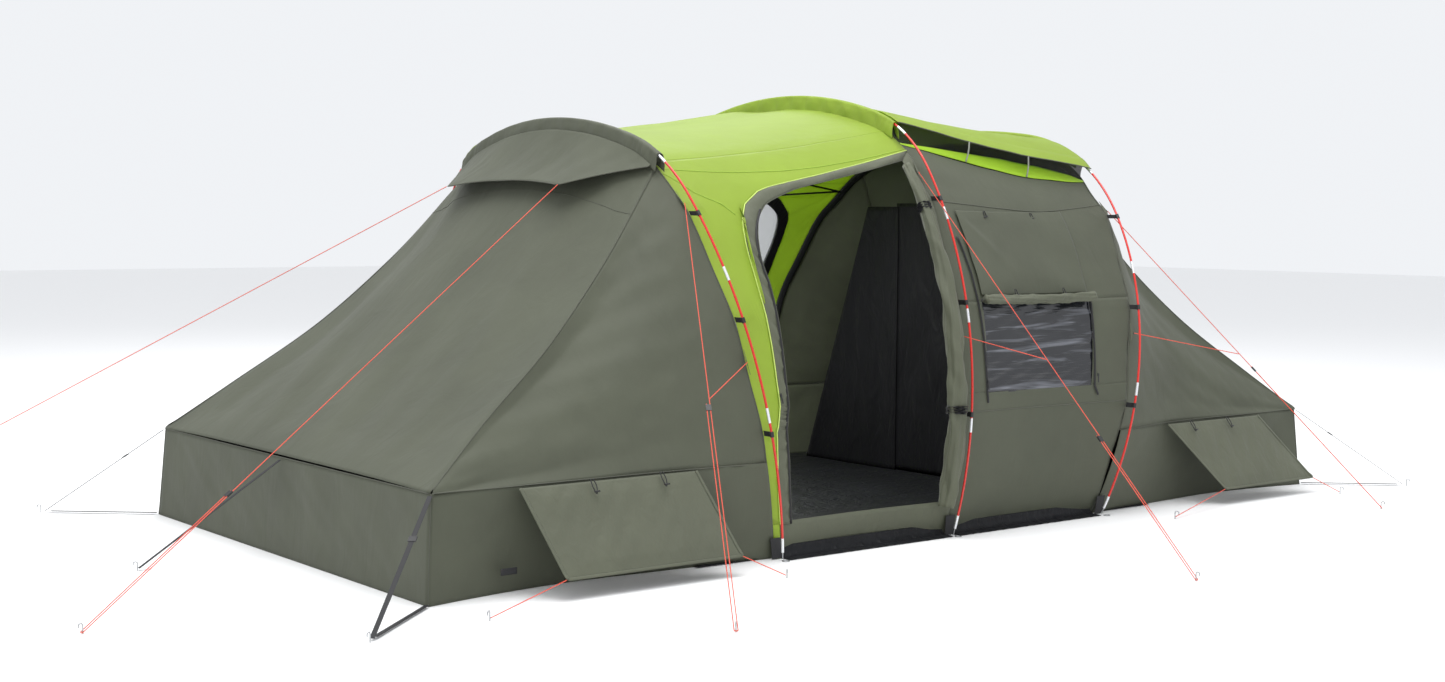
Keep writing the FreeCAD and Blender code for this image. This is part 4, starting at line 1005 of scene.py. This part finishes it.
def wing_skin(wing):
    """Grids of a wing's two sides and its roof, with sag and folds."""
    inside, hoop, grids = inside_wing(wing), wing_hoop(wing), []
    slope = np.array([wing * 1.0, 0, -0.75])
    for side in (-1, 1):
        grid = wing_side(wing, side)
        weight = edge_fade(*grid.shape[:2])
        height = -0.028 * np.sin(math.pi * np.linspace(0, 1, LENGTH_COLUMNS))[None] * weight
        height += 0.0035 * ripple(grid, slope + np.array([0, 0, 0.35]), 0.13, 61 + side) * weight
        height += 0.006 * ripple(grid, slope, 0.5, 65 + side) * weight
        height += fan(grid, grid[-1, 0], slope, (0, side, -0.8), 6, 0.9, 1.0, 71 + side, 0.006, 0.020)
        height += fan(grid, grid[0, -1], (-wing, 0, 0.25), UP, 5, 0.9, 0.7, 75 + side, 0.005, 0.018)
        for z in CLIP_HEIGHTS[id(hoop)]:
            height += fan(grid, seam_point(hoop, side, z), (wing, 0, -0.3), UP, 4, 0.34, 1.4, 80 + int(z * 9),
                          0.004, 0.014)
        height -= scallop(hoop, grid[:, :1, 2]) * np.exp(-np.linspace(0, 1, LENGTH_COLUMNS) / 0.06)[None]
        grids.append(raised(grid, height, inside))
    grid = wing_roof(wing)
    weight = edge_fade(*grid.shape[:2], reach=0.10)
    height = -0.040 * np.sin(math.pi * np.linspace(0, 1, LENGTH_COLUMNS))[None] * weight
    height += 0.0045 * ripple(grid, slope, 0.16, 51) * weight + 0.010 * ripple(grid, slope, 0.62, 52) * weight
    for side, row in ((-1, 0), (1, -1)):
        height += fan(grid, grid[row, 0], slope, (0, -side, 0), 6, 1.1, 0.9, 53 + side, 0.007, 0.022)
        height += fan(grid, grid[row, -1], (-wing, -side * 0.5, 0.5), (0, -side, 0), 6, 1.3, 0.8, 57 + side,
                      0.007, 0.022)
    grids.append(raised(grid, height, inside))
    return grids


def wing_walls(wing):
    """Grids of the low walls: front, rear and end."""
    inside, hoop, grids = inside_wing(wing), wing_hoop(wing), []
    rise = np.linspace(0, 1, 24)
    turns = np.interp(rise, [0, 1], [hoop.turns[0], hoop.angle_at(BAND_Z)])
    for side in (-1, 1):
        columns = [hoop.point(side, turns, INSET) + np.array([wing * WING_GAP, 0, 0])]
        for x, foot_y, band_y, *_ in WING_SECTIONS:
            low = np.array([wing * x, side * foot_y, FOOT_Z])
            high = np.array([wing * x, side * band_y, BAND_Z])
            columns.append(low + (high - low) * rise[:, None])
        low = np.array([wing * END_FOOT_X, side * FOOT_Y, FOOT_Z])
        high = np.array([wing * END_TOP_X, side * CORNER_Y, BAND_Z])
        columns.append(low + (high - low) * rise[:, None])
        grid = np.swapaxes(smooth(np.array(columns), LENGTH_COLUMNS), 0, 1)
        weight = edge_fade(*grid.shape[:2])
        height = weight * (0.003 * ripple(grid, (1, 0, 0.6), 0.22, 31 + side)
                           + 0.004 * ripple(grid, (0.3, 0, 1), 0.5, 33 + side))
        height += fan(grid, grid[0, -1], (-wing, 0, 0.2), UP, 4, 0.6, 0.9, 35, 0.004, 0.015)
        grids.append(raised(grid, height, inside))
    across = np.linspace(-1, 1, 90)
    low = np.stack([np.full(90, wing * END_FOOT_X), across * FOOT_Y, np.full(90, FOOT_Z)], -1)
    high = np.stack([np.full(90, wing * END_TOP_X), across * CORNER_Y, np.full(90, BAND_Z)], -1)
    grid = low[None] + (high - low)[None] * rise[:, None, None]
    weight = edge_fade(*grid.shape[:2])
    height = weight * (0.004 * ripple(grid, (0, 1, 0.5), 0.24, 38)
                       + 0.005 * ripple(grid, (0, 0.2, 1), 0.6, 39))
    grids.append(raised(grid, height, inside))
    return grids


wings = {}
for name, wing in (("left", -1), ("right", 1)):
    inside, skin, walls = inside_wing(wing), wing_skin(wing), wing_walls(wing)
    wings[name] = (skin, walls)
    cloth(name + "_wing_skin", skin, olive, [name + "_wing_top"], inside=inside)
    cloth(name + "_wing_walls", walls, olive, [name + "_wing_skirt"], inside=inside)


# ---------------------------------------------------------------- stage and light

def make_stage():
    """Pale floor, soft sky, three large studio lights and a small one inside that points down."""
    bpy.ops.mesh.primitive_plane_add(size=80, location=(0, 0, 0))
    floor = bpy.context.object
    floor.name = "floor"
    pale = Shade("pale_floor", {"Base Color": (0.90, 0.90, 0.90, 1), "Roughness": 0.9})
    floor.data.materials.append(pale.material)
    world = bpy.data.worlds.new("soft_sky")
    world.use_nodes = True
    sky = world.node_tree.nodes["Background"].inputs
    sky["Color"].default_value = (0.95, 0.97, 1.0, 1)
    sky["Strength"].default_value = 0.92
    bpy.context.scene.world = world
    for name, place, size, power in (("top", (-1.5, -1, 9), 7, 720), ("key", (-8, -6, 7), 5, 60),
                                     ("back", (4, 7, 8), 5, 330), ("inside", (-0.1, 0.1, 1.82), 0.7, 46)):
        data = bpy.data.lights.new(name, "AREA")
        data.size = size
        data.energy = power
        light = bpy.data.objects.new(name, data)
        light.location = place
        if name != "inside":
            light.rotation_euler = Vector(place).to_track_quat("Z", "Y").to_euler()
        bpy.context.scene.collection.objects.link(light)


make_stage()
bpy.context.scene.view_settings.view_transform = "Standard"


# ---------------------------------------------------------------- finishes of the CAD pieces

paint(red_paint, "left_pole", "middle_pole", "right_pole")
paint(bright_metal, "pole_ferrules")
paint(black_tape, "clip_tapes", "wing_straps", "pole_foot_plates", "pole_shock_cords")
paint(moulded, "pole_clips", "left_front_corner_buckle", "left_rear_corner_buckle",
      "right_front_corner_buckle", "right_rear_corner_buckle", "left_window_zip_pull",
      "right_window_zip_pull", "front_door_zip_pull")
paint(moulded, *[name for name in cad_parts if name.endswith("_runner")])
paint(peg_steel, "guy_pegs", "wing_pegs", "pole_foot_pins")


# ---------------------------------------------------------------- hoods and awning

HOOD_FOOT, HOOD_LIFT, HOOD_DROP = 0.026, 0.011, 0.080


def hood_grid(hoop, seed):
    """Sleeve over the crown of a pole: up one side, over the pole and down the other."""
    crown = hoop.across(np.linspace(-1, 1, 160), hip_turn(hoop), 0.0)
    profile = smooth([(-HOOD_FOOT, -HOOD_DROP), (-0.019, -0.020), (-0.012, 0.0), (0, 0.002), (0.012, 0.0),
                      (0.019, -0.020), (HOOD_FOOT, -HOOD_DROP)], 25)
    grid = np.array([crown + np.array([aside, 0, rise + HOOD_LIFT]) for aside, rise in profile])
    weight = np.abs(np.linspace(-1, 1, 25))[:, None]
    pucker = ripple(grid, (0.15, 0, 1), 0.05, seed) * 0.0050
    pucker += ripple(grid, (0.3, 0, 1), 0.16, seed + 1) * 0.004
    return grid + np.array([1, 0, 0]) * (pucker * weight * (1 - weight) * 4)[..., None]


for name, hoop, material, slot in (("left", left_hoop, olive, "olive_fabric"),
                                   ("middle", middle_hoop, lime, "lime_fabric"),
                                   ("right", right_hoop, lime, "lime_fabric")):
    grid = hood_grid(hoop, 101)
    cloth(name + "_hood_cloth", [grid], material, [name + "_pole_hood"],
          inside=tuple(grid[12, 80] - UP * 0.03))

# Outermost points of the awning's hem: its peak on one side, and its middle.
AWNING_TIP, AWNING_MIDDLE = np.array([-1.653, 0.493, 1.634]), np.array([-1.635, 0, 1.660])


def awning_grid():
    """Awning from the hood's foot out to its two peaks, with hollow edges between them."""
    root = left_hoop.across(np.linspace(-1, 1, 121), hip_turn(left_hoop), 0.046)
    root = root + np.array([-0.036, 0, 0])
    y = root[:, 1]
    tip_y, side_y = AWNING_TIP[1], y[-1]
    reach = np.abs(y)
    end = root[-1] + np.array([-0.014, 0, -0.008])
    inner = np.clip(reach / tip_y, 0, 1)[:, None]
    outer = np.clip((reach - tip_y) / (side_y - tip_y), 0, 1)[:, None]
    tip = np.array([AWNING_TIP[0], 0, AWNING_TIP[2]])
    flat_end = np.array([end[0], 0, end[2]])
    hem = np.where(reach[:, None] < tip_y, AWNING_MIDDLE * (1 - inner) + tip * inner,
                   tip * (1 - outer) + flat_end * outer)
    hollow = np.where(reach[:, None] < tip_y, np.sin(math.pi * inner), np.sin(math.pi * outer))
    hem = hem + hollow * np.array([0.010, 0, 0.008])
    hem[:, 1] = y
    step = np.linspace(0, 1, 30)[:, None, None]
    grid = hem[None] * (1 - step) + root[None] * step
    sag = -0.018 * np.sin(math.pi * step[..., 0]) * (1 - np.clip(reach / side_y, 0, 1) ** 2)[None]
    folds = 0.003 * ripple(grid, (1, 0, 0.6), 0.10, 121) + 0.005 * ripple(grid, (1, 0, 0.6), 0.34, 122)
    for side in (-1, 1):
        spot = AWNING_TIP * np.array([1, side, 1])
        folds += fan(grid, spot, (1, -side * 0.2, 0.9), (0, side, 0), 6, 0.5, 1.2, 123, 0.005, 0.016)
    return raised(grid, sag + folds * np.sin(math.pi * np.clip(step[..., 0], 0.06, 0.94)))


awning = awning_grid()
cloth("awning_cloth", [awning], olive, ["left_awning"])
tubes("awning_hem", [awning[0]], 0.003, dark_seam)


# ---------------------------------------------------------------- seams

def lift_row(grid, row, inside, out=0.0016):
    """A row of a grid moved just off the cloth, with its normals."""
    normal = normals_of(grid, inside)[row]
    return grid[row] + normal * out, normal


def wing_arc(grid, inside):
    """Seam across a wing's roof, bowed away from its hoop at the ridge: its path and normals."""
    turn = np.linspace(-1, 1, len(grid))
    column = 14 + 5 * (1 - turn ** 2)
    low = column.astype(int)
    share = (column - low)[:, None]
    rows = np.arange(len(grid))
    normal = normals_of(grid, inside)
    path = grid[rows, low] * (1 - share) + grid[rows, low + 1] * share
    return path + normal[rows, low] * 0.0012, normal[rows, low]


seam_strips, seam_paths = [], []
for name, wing in (("left", -1), ("right", 1)):
    inside = inside_wing(wing)
    skin, walls = wings[name]
    for grid in skin[:2]:
        for row in (0, -1):
            seam_strips.append((*lift_row(grid, row, inside), 0.005))
        seam_paths.append(grid[:, 0])
    seam_paths += [walls[0][:, -1], walls[1][:, -1], skin[2][:, 0]]
    seam_strips.append((*lift_row(walls[2], -1, inside), 0.004))
    seam_strips.append((*wing_arc(skin[2], inside), 0.003))
tapes("wing_seams", seam_strips, dark_seam)
tubes("wing_edge_seams", seam_paths, 0.0022, dark_seam)
bay_seams = []
for grids in window_grids:
    for grid, row in ((grids[0], 33), (grids[3], 26)):
        bay_seams.append((*lift_row(grid, row, INSIDE), 0.006))
tapes("wall_seams", bay_seams, dark_seam)
# Seams of the door wall's lime part, as (share, level).
ROOF_SEAM = [(0.0, 6.55), (0.10, 6.28), (0.207, 6.03), (0.30, 5.91), (0.473, 5.80), (0.707, 5.78),
             (1.0, 5.87)]
CORNER_SEAM = [(0.0, 6.35), (0.045, 5.75), (0.100, 5.20), (0.180, 4.93)]
roof_seams = []
for bay, side, flip in DOOR_WALLS:
    for line in (ROOF_SEAM, CORNER_SEAM):
        roof_seams.append((*wall_line(bay, side, line, flip, out=0.0016), 0.004))
tapes("roof_seams", roof_seams, lime_seam)


# ---------------------------------------------------------------- inside: floor and sleeping cabins

# How far the groundsheet's cloth reaches past its CAD solid, under the cabins and to the walls.
FLOOR_PAST_X, FLOOR_PAST_Y = 0.250, 0.054


def floor_grid():
    """Loose groundsheet out to the cabins and the walls, a few millimetres high at its wrinkles."""
    low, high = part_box("groundsheet")
    wide, deep = high.x + FLOOR_PAST_X, high.y + FLOOR_PAST_Y
    xs, ys = rectangle(-wide, wide, -deep, deep, 110, 110)
    grid = np.stack([xs, ys, np.full_like(xs, 0.002)], -1)
    bump = ripple(grid, (1, 0.2, 0), 0.30, 131) + 0.7 * ripple(grid, (0.2, 1, 0), 0.22, 132)
    grid[..., 2] += 0.004 + 0.003 * bump * edge_fade(110, 110)
    return grid


cloth("groundsheet_cloth", [floor_grid()], black_sheet, ["groundsheet"],
      inside=(0, 0, -1.0))

CABIN_WALL_X, CABIN_END_X, CABIN_HALF, CABIN_TOP_HALF = 1.290, 2.660, 1.180, 0.640
CABIN_TALL, CABIN_LOW, CABIN_DOOR, CABIN_FOOT = 1.560, 0.330, 0.380, 0.005
CABIN_END_HALF = CABIN_HALF * 0.983


def inside_cabin(wing):
    """A point inside a sleeping cabin."""
    return wing * 1.9, 0, 0.4


def flat_patch(corners, rows, columns):
    """Grid between four corners, in order round the edge."""
    a, b, c, d = (np.array(corner, float) for corner in corners)
    u, v = np.linspace(0, 1, columns)[None, :, None], np.linspace(0, 1, rows)[:, None, None]
    return (a * (1 - u) + b * u) * (1 - v) + (d * (1 - u) + c * u) * v


def cabin_grids(wing):
    """Hanging cabin: front wall in two leaves, sides, roof, end and floor."""
    near, far = wing * CABIN_WALL_X, wing * CABIN_END_X
    grids = []
    for side in (-1, 1):
        wide, narrow, door = side * CABIN_HALF, side * CABIN_TOP_HALF, side * CABIN_DOOR
        grids.append(flat_patch([(near, door, CABIN_FOOT), (near, wide, CABIN_FOOT),
                                 (near, narrow, CABIN_TALL), (near, door, CABIN_TALL)], 50, 24))
        low_end = (far, side * CABIN_END_HALF, CABIN_LOW)
        grids.append(flat_patch([(near, wide, CABIN_FOOT), (far, wide, CABIN_FOOT), low_end,
                                 (near, narrow, CABIN_TALL)], 40, 40))
    ends = [(far, -CABIN_END_HALF, CABIN_LOW), (far, CABIN_END_HALF, CABIN_LOW)]
    feet = [(far, -CABIN_HALF, CABIN_FOOT), (far, CABIN_HALF, CABIN_FOOT)]
    grids.append(flat_patch([(near, -CABIN_TOP_HALF, CABIN_TALL), *ends, (near, CABIN_TOP_HALF, CABIN_TALL)],
                            40, 40))
    grids.append(flat_patch([*feet, ends[1], ends[0]], 16, 50))
    grids.append(flat_patch([(near, -CABIN_HALF, CABIN_FOOT), *feet, (near, CABIN_HALF, CABIN_FOOT)], 30, 30))
    hung = []
    for index, grid in enumerate(grids):
        weight = edge_fade(*grid.shape[:2], reach=0.2)
        height = weight * (0.010 * ripple(grid, (0, 0.1, 1), 0.28, 141 + index) - 0.012)
        hung.append(raised(grid, height, inside_cabin(wing)))
    return hung


def cabin_door(wing):
    """Door leaf of a cabin, zipped shut, hung just inside its front wall."""
    x, half, low, high = wing * (CABIN_WALL_X + 0.008), CABIN_DOOR + 0.02, 0.02, CABIN_TALL + 0.02
    grid = flat_patch([(x, -half, low), (x, half, low), (x, half, high), (x, -half, high)], 60, 34)
    weight = edge_fade(60, 34, reach=0.2)
    return grid + np.array([wing, 0, 0]) * (weight * 0.010 * ripple(grid, (0, 0.1, 1), 0.2, 151))[..., None]


for name, wing in (("left", -1), ("right", 1)):
    cloth(name + "_cabin_cloth", cabin_grids(wing), black_cloth, [name + "_sleeping_cabin"],
          inside=inside_cabin(wing))
    cloth(name + "_cabin_door_leaf", [cabin_door(wing)], black_cloth,
          inside=inside_cabin(wing))


def inner_tape(hoop, wing):
    """Black tape along the inside of a hoop's seam, from foot to foot."""
    turn = np.linspace(-1, 1, 180)
    foot = hoop.angle_at(0.02)
    heights = hoop.across(turn, foot, INSET)[:, 2]
    path = hoop.across(turn, foot, INSET + 0.032 + scallop(hoop, heights))
    normal = unit(np.array([hoop.x + 0.1 * wing, 0, 0.6]) - path)
    return path, normal, 0.045


tapes("inner_seam_tapes", [inner_tape(left_hoop, 1), inner_tape(middle_hoop, 1), inner_tape(right_hoop, -1)],
      black_tape)
stay_node = bay_point(RIGHT_BAY, 1, np.array(0.97), np.array(6.2), -0.05)
stay_starts = [bay_point(RIGHT_BAY, 1, np.array(share), np.array(level), -0.055)
               for share, level in ((0.50, 5.3), (0.12, 6.2))]
tubes("inner_stays", [[start, (start + stay_node) / 2, stay_node] for start in stay_starts], 0.006,
      black_tape)


# ---------------------------------------------------------------- mud skirt and vent flaps

def skirt_grid(bay, side):
    """Mud skirt: from the wall's foot out along the ground."""
    shares = np.linspace(0.02, 0.98, 80)
    foot = bay_point(bay, side, shares, np.zeros(80))
    rows = []
    for reach, rise in ((0.004, 0.055), (0.010, 0.022), (0.030, 0.006), (0.060, 0.004), (0.086, 0.003)):
        row = foot + np.array([0, side * reach, 0])
        row[:, 2] = rise
        rows.append(row)
    grid = smooth(np.array(rows), 16)
    grid[..., 2] += 0.004 * np.abs(ripple(grid, (0, 1, 0), 0.09, 161)) * np.linspace(0.2, 1, 16)[:, None]
    return grid


skirts = [skirt_grid(bay, side) for bay in (LEFT_BAY, RIGHT_BAY) for side in (-1, 1)]
cloth("mud_skirts", skirts, black_sheet, ["mud_skirt"],
      inside=(0, 0, -1.0))

# Corners of the two flaps: the hinge line's ends, then the lower edge's.
FLAPS = {
    "left": ((-1.530, -1.374, 0.426), (-2.400, -1.374, 0.426),
             (-2.310, -1.575, 0.084), (-1.440, -1.575, 0.084)),
    "right": ((1.570, -1.392, 0.426), (2.340, -1.392, 0.426),
              (2.595, -1.575, 0.084), (1.825, -1.575, 0.084)),
}
# The pegs of each flap's inner and outer cord, and the way a flap's face looks.
FLAP_PEGS = {"left": ((-1.320, -1.725), (-2.734, -1.699)), "right": ((1.232, -1.714), (2.663, -1.710))}
outward = np.array([0, -0.86, 0.51])
for name, corners in FLAPS.items():
    grid = flat_patch(corners, 40, 60)
    weight = edge_fade(40, 60, reach=0.15)
    height = weight * (0.006 * ripple(grid, (0.35, 0, 1), 0.20, 171) + 0.006)
    inwards = np.sign(grid[-1, -1, 0] - grid[-1, 0, 0])
    for corner, toward in ((grid[-1, 0], (inwards, 0, 1)), (grid[-1, -1], (-inwards, 0, 1))):
        height += fan(grid, corner, toward, (1, 0, 0), 6, 0.42, 1.3, 173, 0.005, 0.010)
    grid = grid + outward * height[..., None]
    body = name + "_vent_flap"
    cloth(name + "_flap_cloth", [grid], olive_trim, [body], body=body,
          thickness=0.0016, inside=(grid[0, 0][0], 0, 0.2))
    hems = [(edge + outward * 0.002, outward, 0.014) for edge in (grid[-1], grid[:, 0], grid[:, -1])]
    tapes(name + "_flap_hems", hems, olive_trim, body=body, inside=(grid[0, 0][0], 0, 0.2))


# ---------------------------------------------------------------- flap cords and guy tabs

for name, (inner_peg, outer_peg) in FLAP_PEGS.items():
    _, _, outer_corner, inner_corner = FLAPS[name]
    for place, corner, peg_xy in (("inner", inner_corner, inner_peg), ("outer", outer_corner, outer_peg)):
        corner, peg = np.array(corner), np.array([*peg_xy, PEG_CORD_Z])
        heading = unit(peg - corner)
        start, end = corner + heading * 0.004, peg - heading * 0.0048
        straight_cord(name + "_flap_" + place + "_cord", start, end, "flap_cords")

flap_loops, flap_bars = [], []
for name, corners in FLAPS.items():
    start, end = np.array(corners[0]), np.array(corners[1])
    for share in (0.22, 0.62):
        top = start + (end - start) * share + np.array([0, -0.012, 0.012])
        over, out = LOOP_HALF, np.array([0, -0.024, 0])
        low = top + out - UP * 0.03
        tip = top + out * 1.6 - UP * 0.056
        flap_loops.append(smooth([top - over, low - over * 1.3, tip, low + over * 1.3, top + over], 20))
        bar = top + out * 1.7 - UP * 0.046
        flap_bars.append(np.array([bar - over * 1.8, bar, bar + over * 1.8]))
tubes("flap_loops", flap_loops, 0.0022, black_tape)
tubes("flap_loop_bars", flap_bars, 0.0036, moulded)

# Small black patch on the left wing's wall, below the band.
PATCH = [(-2.480, -1.361, 0.085), (-2.405, -1.361, 0.085), (-2.405, -1.360, 0.112), (-2.480, -1.360, 0.112)]
dress(cloth_mesh("left_wing_patch", [flat_patch(PATCH, 4, 8)], 0.0020, (-1.6, 0, 0.2)), black_tape)

# Each guy line's tab runs from half its width above the cord to half below, in to a point.
TAB_HALF = 0.055
tab_strips, tip_strips = [], []
for hoop, high, tip in tab_places:
    above, below = seam_point(hoop, -1, high + TAB_HALF), seam_point(hoop, -1, high - TAB_HALF)
    reach = np.linspace(0, 1, 8)[:, None, None]
    edge = above + (below - above) * np.linspace(0, 1, 8)[:, None]
    grid = edge[None] * (1 - reach) + (tip + np.array([0, 0.003, 0])) * reach
    tab_strips.append(grid[:7])
    tip_strips.append(grid[6:])
dress(cloth_mesh("guy_tabs", tab_strips, 0.0014, (0, 0, 0.5)), olive_trim)
dress(cloth_mesh("guy_tab_tips", tip_strips, 0.0020, (0, 0, 0.5)), black_tape)
